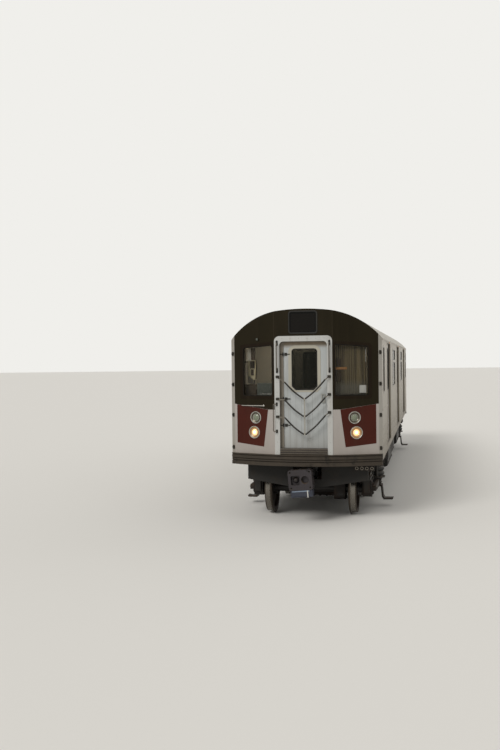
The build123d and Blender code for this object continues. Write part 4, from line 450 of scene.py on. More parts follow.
def lamp_lens(name, lower):
    """Fluted lens glass."""
    f = Finish(name)
    reach = lamp_reach(f, lower)
    flutes = f.maths("SINE", f.x * 1300) * 0.6 + f.maths("SINE", f.z * 700) * 0.4
    if lower:
        colour = f.mix(reach, (255, 240, 205), (236, 196, 140))
        glow = f.mix(f.step(reach, 0.36, 0.08), (226, 152, 74), (255, 246, 220))
    else:
        colour = f.mix(flutes * 0.5 + 0.5, (98, 106, 88), (146, 154, 132))
        glow = f.mix(reach, (0, 0, 0), (0, 0, 0))
    return f.surface(
        base_color=colour,
        roughness=0.10 + f.cloud(50, 3) * 0.06,
        coat_weight=0.6,
        coat_roughness=0.03,
        emission_color=glow,
        emission_strength=1.5 if lower else 0.0,
        normal=f.relief(flutes, 0.0010, 0.6),
    )


def dot_sign(name):
    """Dark sign glass over a field of unlit dots. It shows nothing."""
    f = Finish(name)
    pitch = 0.0125
    dot_x = f.maths("ABSOLUTE", f.maths("FRACT", f.x / pitch) - 0.5)
    dot_z = f.maths("ABSOLUTE", f.maths("FRACT", f.z / pitch) - 0.5)
    reach = f.maths("SQRT", dot_x * dot_x + dot_z * dot_z)
    field = f.band(f.x, -0.205, 0.205, 0.001) * f.band(f.z, 3.262, 3.562, 0.001)
    dot = f.step(reach, 0.36, 0.28) * field
    return f.surface(
        base_color=f.mix(dot, (12, 12, 10), (30, 25, 20)),
        roughness=0.18 + dot * 0.25,
        ior=1.25,
        coat_weight=0.06,
        coat_roughness=0.05,
        normal=f.relief(dot, 0.0005, 0.4),
    )


def speckled_floor(name):
    """Flecked floor covering, worn along the middle."""
    f = Finish(name)
    chips = f.cells(170)
    fleck = f.step(chips, 0.22, 0.16)
    tread = f.step(f.maths("ABSOLUTE", f.x), 0.62, 0.2) * f.cloud(3, 4)
    base = f.mix(fleck, (44, 46, 50), (120, 122, 126))
    return f.surface(
        base_color=f.mix(tread * 0.3, base, (92, 86, 78)),
        roughness=0.42 + tread * 0.25,
        normal=f.relief(fleck, 0.0004, 0.3),
    )


def woven_cloth(name, colour, thread):
    """Woven seat cloth, paler where it is worn."""
    f = Finish(name)
    rows = f.maths("SINE", f.x * thread) * f.maths("SINE", (f.y + f.z) * thread)
    fuzz = f.cloud(500, 2)
    wear = f.cloud(7, 4)
    base = f.mix(rows * 0.5 + 0.5, shaded(colour, 0.62), colour)
    return f.surface(
        base_color=f.mix(wear * 0.3, base, shaded(colour, 1.4)),
        roughness=0.88,
        sheen_weight=0.35,
        sheen_roughness=0.5,
        normal=f.relief(rows * 0.6 + fuzz * 0.5, 0.0011, 0.7),
    )


def cabin_light(name, strength):
    """A lit prismatic cover."""
    f = Finish(name)
    prism = f.maths("SINE", f.y * 700) * f.maths("SINE", f.x * 700)
    return f.surface(
        base_color=f.mix(prism * 0.5 + 0.5, (226, 224, 216), (246, 244, 238)),
        roughness=0.35,
        emission_color=f.mix(f.cloud(2, 2), (255, 238, 208), (255, 246, 228)),
        emission_strength=strength,
        normal=f.relief(prism, 0.0006, 0.4),
    )


def slatted(name):
    """A blind of many thin slats, greyer towards its foot."""
    f = Finish(name)
    slats = f.cloud(60, 2, 0.5, (1, 1, 0.01))
    low = f.step(f.z, 2.46, 2.30)
    colour = f.mix(f.step(slats, 0.35, 0.65), (46, 37, 20), (112, 100, 70))
    colour = f.mix(low * 0.6, colour, (104, 104, 94))
    return f.surface(base_color=colour, roughness=0.6, normal=f.relief(slats, 0.001, 0.5))


def portal_sheet(name):
    """Portal: bright frame, a jamb behind it in painted shade, and steps at the sill with a dark band on
    each.
    """
    f = Finish(name)
    grain = f.cloud(5, 3, 0.6, (140, 140, 1.4))
    sheet = f.cloud(1.1, 3)
    runs = f.step(f.cloud(7, 5, 0.62, (1, 1, 0.06)), 0.45, 0.80)
    across = f.maths("ABSOLUTE", f.x)
    jamb = f.step(f.y, -7.6400, -7.6300)
    sill = f.step(f.z, 1.290, 1.276) * f.step(across, 0.412, 0.404)
    step_foot = 1.175
    step_pitch = 0.0385
    tread = f.line(f.maths("FRACT", (f.z - step_foot) / step_pitch), 0.80, 0.16, 0.05)
    frame_colour = f.mix(grain * 0.5 + sheet * 0.5, (180, 181, 178), (208, 209, 207))
    colour = f.mix(runs * 0.35, frame_colour, (118, 106, 88))
    # Painted shade: the jamb, set back behind the frame's face, is painted browner and darker, and a little
    # less metallic.
    colour = f.mix(jamb * 0.85, colour, (108, 97, 80))
    step_colour = f.mix(tread, (112, 102, 92), (30, 27, 24))
    colour = f.mix(sill, colour, step_colour)
    return f.surface(
        base_color=colour,
        metallic=0.30 - jamb * 0.2,
        roughness=0.40 + runs * 0.15 + grain * 0.06,
        normal=f.relief(grain, 0.0004, 0.45),
    )


def door_sheet(name):
    """Front door: pale painted sheet with faint swages, a bright window ring and dark fittings."""
    f = Finish(name)
    peel = f.cloud(260, 2)
    fade = f.cloud(1.4, 4)
    runs = f.step(f.cloud(16, 5, 0.62, (1, 1, 0.05)), 0.42, 0.78)
    low = f.step(f.z, 1.75, 1.27)
    ring = f.step(f.y, -7.5762, -7.5776)
    fitted = f.step(f.y, -7.5830, -7.5845) * f.step(f.x, -0.15, -0.16)
    handle = f.step(f.y, -7.5830, -7.5845) * f.step(f.x, 0.26, 0.27)
    within = f.step(f.y, -7.5370, -7.5360)
    swage_pitch = 0.095
    swage = f.line(f.maths("FRACT", f.x / swage_pitch), 0.5, 0.02, 0.03)
    swage = swage * f.step(f.z, 2.20, 2.19) * (1 - ring)
    paint = f.mix(fade, (171, 176, 177), (193, 197, 197))
    paint = f.mix(runs * 0.30 + low * 0.30, paint, (118, 108, 92))
    # The swages are painted darker as well as sunk: painted shade in the grooves.
    paint = f.mix(swage * 0.30, paint, (96, 94, 90))
    # Painted shade: the top of the door is darker and browner, as in the shade under the portal's head.
    paint = f.mix(f.step(f.z, 2.97, 3.06) * 0.85, paint, (124, 104, 76))
    paint = f.mix(ring, paint, (178, 174, 160))
    paint = f.mix(fitted, paint, (34, 31, 26))
    paint = f.mix(handle, paint, (158, 158, 152))
    paint = f.mix(within, paint, (168, 164, 152))
    return f.surface(
        base_color=paint,
        metallic=0.12 + handle * 0.3,
        roughness=0.40 + runs * 0.2 + peel * 0.05,
        normal=f.relief(peel * 0.25 - swage * 0.8, 0.0006, 0.6),
    )


def bracket_iron(name):
    """Brackets and hooks dark, links bare steel, and the strap that ties the chains cream."""
    f = Finish(name)
    across = f.maths("ABSOLUTE", f.x)
    plates = f.step(across, 0.4080, 0.4100)
    strap = f.line(f.x, 0.025, 0.0103, 0.0004)
    rust = f.step(f.cloud(70, 4, 0.6), 0.58, 0.72)
    steel = f.mix(f.cloud(90, 3), (112, 106, 96), (146, 140, 130))
    dark = f.mix(f.cloud(12, 3), (36, 34, 28), (58, 53, 43))
    web = f.mix(f.maths("SINE", f.z * 2400) * 0.5 + 0.5, (146, 143, 133), (166, 163, 153))
    colour = f.mix(plates, steel, dark)
    colour = f.mix(rust * 0.5, colour, (96, 62, 38))
    colour = f.mix(strap, colour, web)
    return f.surface(
        base_color=colour,
        metallic=0.75 - plates * 0.6 - strap * 0.70,
        roughness=0.40 + rust * 0.2 + strap * 0.3,
        normal=f.relief(f.cloud(200, 3), 0.0004, 0.5),
    )


def sill_iron(name):
    """Underframe: black iron, but the rings of the sockets at the cab end are bright."""
    f = Finish(name)
    patch = f.cloud(6, 5, 0.6)
    small = f.cloud(48, 4, 0.6)
    rings = f.step(f.y, -7.3665, -7.3680) * f.step(f.z, 1.02, 1.01)
    base = f.mix(patch, (22, 20, 18), (52, 43, 33))
    base = f.mix(f.step(small, 0.63, 0.74) * 0.3, base, (92, 54, 32))
    base = f.mix(rings, base, (158, 150, 138))
    return f.surface(
        base_color=base,
        metallic=0.1 + rings * 0.6,
        roughness=0.62 - rings * 0.3 + small * 0.05,
        normal=f.relief(small, 0.0010, 0.5),
    )


def rim_sheet(name):
    """Rims of the side windows in steel, and rubber round the windscreens."""
    f = Finish(name)
    rubber = f.step(f.y, screen_from_y + 0.020, screen_from_y)
    grain = f.cloud(5, 3, 0.6, (120, 120, 120))
    steel = f.mix(grain, (140, 134, 124), (170, 165, 155))
    black = f.mix(f.cloud(9, 5), (16, 14, 11), (34, 29, 22))
    return f.surface(
        base_color=f.mix(rubber, steel, black),
        ior=1.25,
        metallic=0.75 - rubber * 0.75,
        roughness=0.34 + rubber * 0.26 + grain * 0.06,
        normal=f.relief(grain, 0.0003, 0.4),
    )


side_steel = brushed_steel("side_steel", (178, 172, 160), (146, 138, 124), "y", lining=inner_x)
end_steel = brushed_steel("end_steel", (176, 170, 160), (142, 135, 124), "x")
leaf_steel = brushed_steel("leaf_steel", (184, 179, 170), (152, 146, 136), "z", rough=0.30)
nose_cream = brushed_steel("nose_cream", (190, 184, 179), (165, 159, 155), "x", 0.44, 0.22, (112, 98, 82))
post_silver = brushed_steel("post_silver", (186, 183, 176), (158, 154, 147), "z", 0.38, 0.45, (112, 98, 80))

# Name, colour, soil, roughness and soiling
# The mask's line at the knees is paler than its paint: a painted highlight along the edge between the facets.
mask_highlight = (("x", 0.5, (62, 55, 44)),)
mask_paint = sprayed_paint("mask_paint", (37, 32, 20), (66, 56, 40), 0.40, 0.16, seams_and_highlights=mask_highlight, ior=1.18)
maroon_paint = sprayed_paint("maroon_paint", (70, 22, 10), (66, 46, 30), 0.36, 0.24, coat=0.04, ior=1.30)
roof_seams = [("x", 0.43, (92, 88, 80))]
roof_seams += [("y", y, (104, 100, 92)) for y in (0.75, 2.25, 3.75, 7.45)]
roof_white = sprayed_paint(
    "roof_white", (200, 197, 188), (138, 130, 116), 0.55, 0.30, seams_and_highlights=roof_seams, grain=120
)
unit_grey = sprayed_paint("unit_grey", (84, 82, 77), (116, 106, 92), 0.52, 0.45, metal=0.1)
frame_brown = sprayed_paint("frame_brown", (33, 25, 16), (66, 56, 42), 0.50, 0.22, ior=1.18)
fitting_black = sprayed_paint("fitting_black", (30, 29, 26), (88, 80, 66), 0.42, 0.26, metal=0.1)

# Name, colour, roughness and specks
ceiling_white = moulded_plastic("ceiling_white", (212, 210, 202), 0.42, 0.03)
bench_shell = moulded_plastic("bench_shell", (186, 140, 90), 0.36, 0.12)
desk_shell = moulded_plastic("desk_shell", (66, 68, 70), 0.55, 0.1)
partition_panel = moulded_plastic("partition_panel", (178, 174, 162), 0.44, 0.06)
amber_lens = moulded_plastic("amber_lens", (214, 132, 44), 0.22, 0, grain=300)
red_lens = moulded_plastic("red_lens", (120, 22, 18), 0.22, 0, grain=300)
gauge_white = moulded_plastic("gauge_white", (206, 206, 200), 0.40, 0)
cab_cream = moulded_plastic("cab_cream", (206, 196, 160), 0.45, 0.05)
tan_strap = moulded_plastic("tan_strap", (158, 112, 66), 0.70, 0.05)
display_black = moulded_plastic("display_black", (14, 15, 16), 0.12, 0)
hood_green = moulded_plastic("hood_green", (84, 90, 82), 0.60, 0.05)
visor_brown = moulded_plastic("visor_brown", (66, 54, 36), 0.55, 0.05)
card_pale = moulded_plastic("card_pale", (206, 206, 198), 0.40, 0.02)

# Name, colour, dust, rust, roughness, how far patches of dust go, and metal
beam_grey = soiled_iron("beam_grey", (60, 52, 43), (92, 80, 64), 0.06, 0.50, 0.35, 0.25)
under_black = soiled_iron("under_black", (27, 25, 22), (60, 49, 36), 0.10, 0.60, 0.32)
case_grey = soiled_iron("case_grey", (46, 44, 41), (78, 65, 50), 0.06, 0.52, 0.38)
truck_grey = soiled_iron("truck_grey", (46, 42, 37), (82, 65, 48), 0.14, 0.58, 0.50)
cast_brown = soiled_iron("cast_brown", (40, 34, 30), (76, 58, 42), 0.28, 0.66, 0.50)
coupler_grey = soiled_iron("coupler_grey", (64, 60, 63), (66, 54, 43), 0.08, 0.44, 0.26, 0.45)
coupler_blue = soiled_iron("coupler_blue", (58, 62, 74), (70, 60, 48), 0.05, 0.48, 0.28, 0.2)
drawbar_iron = soiled_iron("drawbar_iron", (52, 48, 44), (82, 65, 48), 0.16, 0.55, 0.40, 0.3)
shoe_iron = soiled_iron("shoe_iron", (44, 36, 29), (78, 62, 46), 0.25, 0.60, 0.45, 0.15)
bar_blue = soiled_iron("bar_blue", (128, 142, 160), (80, 74, 66), 0.03, 0.44, 0.2, 0.2)

spring_rubber = moulded_rubber("spring_rubber", rib_rate=420)
seal_rubber = moulded_rubber("seal_rubber", (22, 22, 22))
sleeve_rubber = moulded_rubber("sleeve_rubber", (30, 29, 28), (120, 112, 98), 0.5)
bright_tube = polished_tube("bright_tube", (196, 194, 190), 0.16)
dark_tube = polished_tube("dark_tube", (112, 106, 98), 0.30)
bezel_bright = polished_tube("bezel_bright", (206, 204, 198), 0.22)
side_glass = window_pane("side_glass", (34, 33, 28), 0.50, front_clear=0.38)
screen_glass = window_pane("screen_glass", (15, 17, 10), 0.26, ior=1.3)
leaf_glass = window_pane("leaf_glass", (34, 33, 28), 0.50)
sign_glass = dot_sign("sign_glass")
floor_vinyl = speckled_floor("floor_vinyl")
seat_weave = woven_cloth("seat_weave", (58, 66, 84), 2600)
light_panel = cabin_light("light_panel", 3.2)
cab_light = cabin_light("cab_light", 5.0)
portal_silver = portal_sheet("portal_silver")
door_paint = door_sheet("door_paint")
bracket_set = bracket_iron("bracket_set")
underframe_iron = sill_iron("underframe_iron")
rim_finish = rim_sheet("rim_finish")
blind_olive = slatted("blind_olive")


def dress(finish, *node_names):
    """Puts a finish on parts of the construction."""
    for node_name in node_names:
        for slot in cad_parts[node_name].material_slots:
            slot.material = finish


dress(side_steel, "left_side_wall", "right_side_wall")
dress(leaf_steel, "left_fore_leaves", "left_aft_leaves", "right_fore_leaves", "right_aft_leaves")
dress(end_steel, "rear_end_wall", "rear_door")
dress(portal_silver, "door_portal")
dress(post_silver, "corner_posts")
dress(nose_cream, "nose_panels")
dress(maroon_paint, "maroon_panels")
dress(mask_paint, "cab_mask")
dress(door_paint, "front_door")
dress(roof_white, "roof")
dress(unit_grey, "roof_units")
dress(ceiling_white, "ceiling")
dress(partition_panel, "cab_partition", "cab_door")
dress(bench_shell, "benches")
dress(desk_shell, "cab_desk")
dress(floor_vinyl, "floor")
dress(beam_grey, "anticlimbers")
dress(underframe_iron, "underframe")
dress(under_black, "draft_gear")
dress(case_grey, "equipment_cases", "air_tanks")
dress(coupler_grey, "front_coupler")
dress(coupler_blue, "electric_coupler")
dress(drawbar_iron, "rear_drawbar")
dress(dark_tube, "grab_bars")
dress(bright_tube, "grab_poles")
dress(bracket_set, "chain_brackets")
dress(sign_glass, "route_sign")
dress(side_glass, "window_glass", "rear_door_glass")
dress(screen_glass, "front_door_glass")
dress(rim_finish, "window_rims")
for truck, station in trucks:
    dress(truck_grey, f"{truck}_truck_frame")
    dress(cast_brown, f"{truck}_axle_boxes", f"{truck}_motors")
    dress(spring_rubber, f"{truck}_springs")
    dress(shoe_iron, f"{truck}_shoe_gear")
    for end, end_name in ((-1, "lead"), (1, "trail")):
        wheel = turned_wheel(f"{truck}_{end_name}_wheel", station + end * half_wheelbase)
        dress(wheel, f"{truck}_{end_name}_wheelset")


# Making pieces
side_names = ((-1, "left"), (1, "right"))
to_right = Vector((1, 0, 0))
to_front = Vector((0, -1, 0))
to_rear = Vector((0, 1, 0))
to_sky = Vector((0, 0, 1))


def new_object(name, data):
    made = bpy.data.objects.new(name, data)
    bpy.context.scene.collection.objects.link(made)
    return made


def keep(name, mesh, finish, body="car_body", sharp=35):
    """A finished piece, from a mesh or from a list of meshes to join. Its place is in its
    mesh, and it rides on one body."""
    if isinstance(mesh, list):
        mesh = joined(mesh)
    mesh.name = name
    mesh.materials.clear()
    mesh.materials.append(finish)
    mesh.shade_smooth()
    mesh.set_sharp_from_angle(angle=radians(sharp))
    piece = new_object(name, mesh)
    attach(piece, body)
    return piece


def mesh_of(builder):
    """The mesh of a working object, which is then thrown away."""
    bpy.context.view_layer.update()
    graph = bpy.context.evaluated_depsgraph_get()
    mesh = bpy.data.meshes.new_from_object(builder.evaluated_get(graph), depsgraph=graph)
    bpy.data.objects.remove(builder)
    return mesh


def mesh_of_curve(curve):
    mesh = mesh_of(new_object(curve.name, curve))
    bpy.data.curves.remove(curve)
    return mesh


def mesh_from(work, name="worked"):
    """The mesh of a working bmesh, which is then thrown away."""
    mesh = bpy.data.meshes.new(name)
    work.to_mesh(mesh)
    work.free()
    return mesh


def joined(meshes):
    """Several meshes as one."""
    work = bmesh.new()
    for mesh in meshes:
        work.from_mesh(mesh)
        bpy.data.meshes.remove(mesh)
    return mesh_from(work)


def add_line(curve, kind, points, closed=False):
    """A line of a curve through points."""
    line = curve.splines.new(kind)
    line.points.add(len(points) - 1)
    for target, point in zip(line.points, points):
        target.co = (*point, 1)
    line.use_cyclic_u = closed
    return line


def rounded(width, height, radius, middle=(0, 0), steps=6):
    """Outline of a rectangle with round corners."""
    points = []
    for turn, (sx, sy) in enumerate(((1, 1), (-1, 1), (-1, -1), (1, -1))):
        cx = middle[0] + sx * (width / 2 - radius)
        cy = middle[1] + sy * (height / 2 - radius)
        for step in range(steps + 1):
            angle = (turn + step / steps) * pi / 2
            points.append((cx + radius * cos(angle), cy + radius * sin(angle)))
    return points


def softened(corners, radius, steps=6):
    """Outline through corners, each one rounded off."""
    points = []
    count = len(corners)
    for at, corner in enumerate(corners):
        corner = Vector(corner)
        before = Vector(corners[at - 1]) - corner
        after = Vector(corners[(at + 1) % count]) - corner
        start = corner + before.normalized() * radius
        end = corner + after.normalized() * radius
        for step in range(steps + 1):
            share = step / steps
            points.append(tuple(start.lerp(corner, share).lerp(corner.lerp(end, share), share)))
    return points


def circle(radius, steps):
    turns = [2 * pi * step / steps for step in range(steps)]
    return [(radius * cos(turn), radius * sin(turn)) for turn in turns]


def placed(origin, along, up):
    """A working plane: its x runs along, its y runs up and its z stands out."""
    out = Vector(along).cross(Vector(up))
    basis = Matrix((Vector(along), Vector(up), out)).transposed().to_4x4()
    return Matrix.Translation(Vector(origin)) @ basis


def moved(place, x, y, z=0.0):
    """A working plane moved in its own directions."""
    return place @ Matrix.Translation((x, y, z))


def front_plane(y, x=0.0, z=0.0):
    """On a face that looks towards the cab end."""
    return placed((x, y, z), (1, 0, 0), (0, 0, 1))


def rear_plane(y, x=0.0, z=0.0):
    """On a face that looks towards the blind end."""
    return placed((x, y, z), (-1, 0, 0), (0, 0, 1))


def side_plane(side, x):
    """On a face that looks to one side. Its x is side times the distance along the car."""
    return placed((side * x, 0, 0), (0, side, 0), (0, 0, 1))


def top_plane(z, x=0.0, y=0.0):
    """On a face that looks up."""
    return placed((x, y, z), (1, 0, 0), (0, 1, 0))


def facet_plane(side, out=0.0):
    """On one swept half of the front. Its x is side times the distance from the knee."""
    outward = Vector((side * sin(sweep), -cos(sweep), 0))
    along = Vector((cos(sweep), side * sin(sweep), 0))
    return placed(Vector((side * nose_flat, nose_y, 0)) + outward * out, along, (0, 0, 1))


def from_knee(side, x):
    """The x on a swept half of what lies x from the car's middle."""
    return side * (x - nose_flat) / cos(sweep)


def on_facet(side, x, z, out=0.0):
    """A point on a swept half, with x as its distance from the car's middle."""
    return facet_plane(side, out) @ Vector((from_knee(side, x), z, 0))


def facet_seat(side, x, z, out=0.0):
    """A working plane on a swept half, round such a point."""
    return moved(facet_plane(side), from_knee(side, x), z, out)


def plate(loops, thick, place, edge=0.0012):
    """A plate cut to outlines, with its edges eased. Its back lies on the working plane."""
    curve = bpy.data.curves.new("plate", "CURVE")
    curve.dimensions = "2D"
    curve.fill_mode = "BOTH"
    edge = min(edge, thick * 0.45)
    curve.extrude = thick / 2 - edge
    curve.bevel_depth = edge
    curve.bevel_resolution = 1
    curve.offset = -edge
    for loop in loops:
        add_line(curve, "POLY", [(x, y, 0) for x, y in loop], True)
    mesh = mesh_of_curve(curve)
    mesh.transform(moved(place, 0, 0, thick / 2))
    return mesh


def panel(width, height, radius, middle, thick, place, edge):
    """A plate with round corners."""
    return plate([rounded(width, height, radius, middle)], thick, place, edge)


def tube(points, radius, sides=10, bend=0.03, closed=False):
    """A rigid pipe or bar: straight runs with round bends."""
    line_points = []
    count = len(points)
    for at, point in enumerate(points):
        point = Vector(point)
        if not closed and at in (0, count - 1):
            line_points.append(point)
            continue
        before = Vector(points[at - 1])
        after = Vector(points[(at + 1) % count])
        room = min(bend, (before - point).length * 0.45, (after - point).length * 0.45)
        start = point + (before - point).normalized() * room
        end = point + (after - point).normalized() * room
        for share in (0, 0.25, 0.5, 0.75, 1):
            line_points.append(start.lerp(point, share).lerp(point.lerp(end, share), share))
    curve = bpy.data.curves.new("tube", "CURVE")
    curve.dimensions = "3D"
    curve.bevel_depth = radius
    curve.bevel_resolution = max(1, sides // 4)
    curve.use_fill_caps = not closed
    add_line(curve, "POLY", line_points, closed)
    return mesh_of_curve(curve)


def turned(profile, place, steps=28, ring=False, ripple=0.0):
    """A turned shape. The profile is a list of (radius, height out of the working plane),
    and a ring's profile closes on itself. A ripple lifts every second spoke."""
    work = bmesh.new()
    rings = []
    for radius, height in profile:
        if radius == 0:
            rings.append([work.verts.new((0, 0, height))])
        else:
            spokes = enumerate(circle(radius, steps))
            rings.append([work.verts.new((x, y, height + ripple * (at % 2))) for at, (x, y) in spokes])
    if ring:
        rings.append(rings[0])
    for low, high in zip(rings, rings[1:]):
        for at in range(steps):
            after = (at + 1) % steps
            corners = [low[at % len(low)], low[after % len(low)]]
            corners += [high[after % len(high)], high[at % len(high)]]
            work.faces.new(list(dict.fromkeys(corners)))
    bmesh.ops.recalc_face_normals(work, faces=work.faces)
    work.transform(place)
    return mesh_from(work)


def block(first, second, edge=0.003):
    """A bar or box with eased edges, between two opposite corners."""
    low, high = zip(*(sorted(pair) for pair in zip(first, second)))
    work = bmesh.new()
    bmesh.ops.create_cube(work, size=1)
    for vert in work.verts:
        vert.co = Vector(low[i] if vert.co[i] < 0 else high[i] for i in range(3))
    edge = min(edge, min(high[i] - low[i] for i in range(3)) * 0.3)
    bmesh.ops.bevel(work, geom=work.edges, offset=edge, segments=2, profile=0.7, affect="EDGES")
    return mesh_from(work)


def block_on(side, first, second, edge=0.002):
    """A bar on a swept half of the front: corners as (x from the middle, z, out from its face)."""
    corners = [(from_knee(side, x), z, out) for x, z, out in (first, second)]
    mesh = block(*corners, edge)
    mesh.transform(facet_plane(side))
    return mesh


def loft(sections):
    """A shape through rings of points, each ring with as many points."""
    work = bmesh.new()
    rings = [[work.verts.new(point) for point in ring] for ring in sections]
    count = len(rings[0])
    for low, high in zip(rings, rings[1:]):
        for at in range(count):
            after = (at + 1) % count
            work.faces.new((low[at], low[after], high[after], high[at]))
    work.faces.new(rings[0])
    work.faces.new(rings[-1])
    bmesh.ops.recalc_face_normals(work, faces=work.faces)
    return mesh_from(work)


# Bolt and rivet heads, by geometry nodes
def bolt_tree():
    """A tree that sets a washer and a head on each point, turned to that point's facing."""
    tree = bpy.data.node_groups.new("bolt_heads", "GeometryNodeTree")
    grow = Graph(tree)
    sockets = [("Geometry", "Geometry"), ("Radius", "Float"), ("Height", "Float"), ("Head Share", "Float")]
    sockets += [("Sides", "Int"), ("Finish", "Material")]
    for label, kind in sockets:
        tree.interface.new_socket(label, in_out="INPUT", socket_type="NodeSocket" + kind)
    tree.interface.new_socket("Geometry", in_out="OUTPUT", socket_type="NodeSocketGeometry")
    inputs = tree.nodes.new("NodeGroupInput").outputs
    given = {label: Value(grow, inputs[label]) for label, _ in sockets}
    radius = given["Radius"]

    def cone(sides, top, bottom, depth):
        values = {"Vertices": sides, "Radius Top": top, "Radius Bottom": bottom, "Depth": depth}
        return grow.node("GeometryNodeMeshCone", {}, values)

    washer = cone(14, radius, radius, given["Height"] * 0.3)
    head_radius = radius * given["Head Share"]
    head = cone(given["Sides"], head_radius * 0.86, head_radius, given["Height"])
    shape = grow.node("GeometryNodeJoinGeometry", {}, {"Geometry": washer})
    tree.links.new(head.socket, shape.socket.node.inputs["Geometry"])
    facing = grow.node("GeometryNodeInputNamedAttribute", {"data_type": "FLOAT_VECTOR"}, {"Name": "facing"})
    turn = grow.node("FunctionNodeAlignRotationToVector", {"axis": "Z"}, {"Vector": facing})
    values = {"Points": given["Geometry"], "Instance": shape, "Rotation": turn}
    spread = grow.node("GeometryNodeInstanceOnPoints", {}, values)
    real = grow.node("GeometryNodeRealizeInstances", {}, {"Geometry": spread})
    done = grow.node("GeometryNodeSetMaterial", {}, {"Geometry": real, "Material": given["Finish"]})
    grow.node("NodeGroupOutput", {}, {"Geometry": done}, None)
    return tree


bolts = bolt_tree()


def keep_bolts(name, places, radius, height, finish, sides=6, share=0.72, body="car_body"):
    """A piece of bolt or rivet heads. places is a list of (point, outward direction)."""
    seed = bpy.data.meshes.new("seed")
    seed.from_pydata([tuple(point) for point, _ in places], [], [])
    facing = seed.attributes.new("facing", "FLOAT_VECTOR", "POINT")
    for at, (_, way) in enumerate(places):
        facing.data[at].vector = way
    work = new_object("seed", seed)
    modifier = work.modifiers.new("grow", "NODES")
    modifier.node_group = bolts
    known = {item.name: item.identifier for item in bolts.interface.items_tree if item.in_out == "INPUT"}
    inputs = {"Radius": radius, "Height": height, "Head Share": share, "Sides": sides, "Finish": finish}
    for label, value in inputs.items():
        modifier[known[label]] = value
    mesh = mesh_of(work)
    bpy.data.meshes.remove(seed)
    return keep(name, mesh, finish, body)


def spaced(first, last, count):
    """Points evenly along a line, ends included."""
    first = Vector(first)
    last = Vector(last)
    return [first.lerp(last, at / (count - 1)) for at in range(count)]


def row_of(first, last, count, way):
    """Places for a row of heads that face one way."""
    return [(point, way) for point in spaced(first, last, count)]


def ring_of(middle, radius, count, along, up, way, start=0.0):
    """Places for a ring of heads that face one way."""
    middle = Vector(middle)
    turns = [start + 2 * pi * at / count for at in range(count)]
    return [(middle + along * radius * cos(turn) + up * radius * sin(turn), way) for turn in turns]


# Safety chains in their sleeves: three V shapes across the front door
chain_tops = (2.443, 2.143, 1.840)
chain_drop = 0.320
chain_sag = 0.024
chain_radius = 0.014
chain_hang = {-1: (-0.312, -0.037), 1: (0.378, 0.004)}  # outer end by side: x and lift
chain_mid_x = 0.025
chain_foot_x = 0.013
chain_y = portal_face - 0.045
for (level, top), (side, side_name) in product(enumerate(chain_tops), side_names):
    hang_x, lift = chain_hang[side]
    foot_x = chain_mid_x + side * chain_foot_x
    route = []
    for share, sag in ((0, 0), (1 / 3, 1), (2 / 3, 1), (1, 0)):
        x = hang_x + (foot_x - hang_x) * share
        z = top + lift - (chain_drop + lift) * share - sag * chain_sag
        route.append((x, chain_y, z))
    curve = bpy.data.curves.new(f"chain_sleeve_{side_name}_{level + 1}", "CURVE")
    curve.dimensions = "3D"
    curve.resolution_u = 16
    curve.bevel_depth = chain_radius
    curve.bevel_resolution = 4
    curve.use_fill_caps = True
    line = add_line(curve, "NURBS", route)
    line.order_u = 3
    line.use_endpoint_u = True
    curve.materials.append(sleeve_rubber)
    sleeve = new_object(curve.name, curve)
    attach(sleeve, "car_body")
    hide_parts("safety_chains")


# Front: feet of the grab bars, fittings on the jamb, screws and trim
def bar_feet():
    front = front_plane(portal_face)
    rear = rear_plane(tail_y)
    parts = []
    for side in (-1, 1):
        for z in (2.604, 3.068):
            parts.append(panel(0.034, 0.092, 0.014, (side * 0.448, z), 0.008, front, 0.002))
        for z in (1.528, 2.928):
            parts.append(panel(0.040, 0.090, 0.014, (side * 0.480, z), 0.008, rear, 0.002))
    for z in (1.568, 2.031):
        parts.append(panel(0.034, 0.060, 0.010, (-0.458, z), 0.007, front, 0.002))
    keep("bar_feet", parts, fitting_black)


def jamb_fittings():
    """The fixed halves of the front door's three outer hinge fittings."""
    barrel = [(0, -0.030), (0.010, -0.030), (0.011, -0.024), (0.011, 0.024), (0.010, 0.030), (0, 0.030)]
    parts = []
    for z in (2.880, 2.118, 1.667):
        parts.append(block((-0.404, -7.5985, z - 0.009), (-0.350, -7.5890, z + 0.009), 0.003))
        parts.append(turned(barrel, top_plane(z, -0.352, -7.6000), 16))
    keep("jamb_fittings", parts, fitting_black)


def front_screws():
    """Screws of the portal, the lamps, the nose and the mask, and bolts of the chain brackets."""
    heads = []
    for x in (-0.451, 0.451):
        heads += row_of((x, portal_face, 1.215), (x, portal_face, 3.080), 12, to_front)
    heads += row_of((-0.360, portal_face, 3.145), (0.360, portal_face, 3.145), 6, to_front)
    keep_bolts("portal_screws", heads, 0.0060, 0.0026, post_silver, 10, 0.8)

    heads = []
    on_mask = []
    for side in (-1, 1):
        way = (facet_plane(side).to_3x3() @ to_sky).normalized()
        for x, z, radius in lamps:
            reach = radius - 0.007
            for turn in (pi / 6, 5 * pi / 6, 3 * pi / 2):
                at_x = x + reach * cos(turn) * cos(sweep)
                heads.append((on_facet(side, at_x, z + reach * sin(turn), 0.0118), way))
        for x in (0.72, 0.90, 1.08, 1.21):
            heads.append((on_facet(side, x, 1.225), way))
        for z in (1.30, 1.60):
            heads.append((on_facet(side, 0.545, z), way))
        for x in (0.60, 0.80, 1.00, 1.20):
            on_mask.append((on_facet(side, x, 3.09), way))
    keep_bolts("front_screws", heads, 0.0058, 0.0026, post_silver, 10, 0.8)
    keep_bolts("mask_screws", on_mask, 0.0058, 0.0024, frame_brown, 10, 0.8)

    heads = []
    for side in (-1, 1):
        for z, dx, dz in product(bracket_heights[side], (-0.020, 0.020), (-0.013, 0.013)):
            heads.append((Vector((side * 0.442 + dx, portal_face - 0.014, z + dz)), to_front))
    keep_bolts("bracket_bolts", heads, 0.0055, 0.0045, fitting_black)


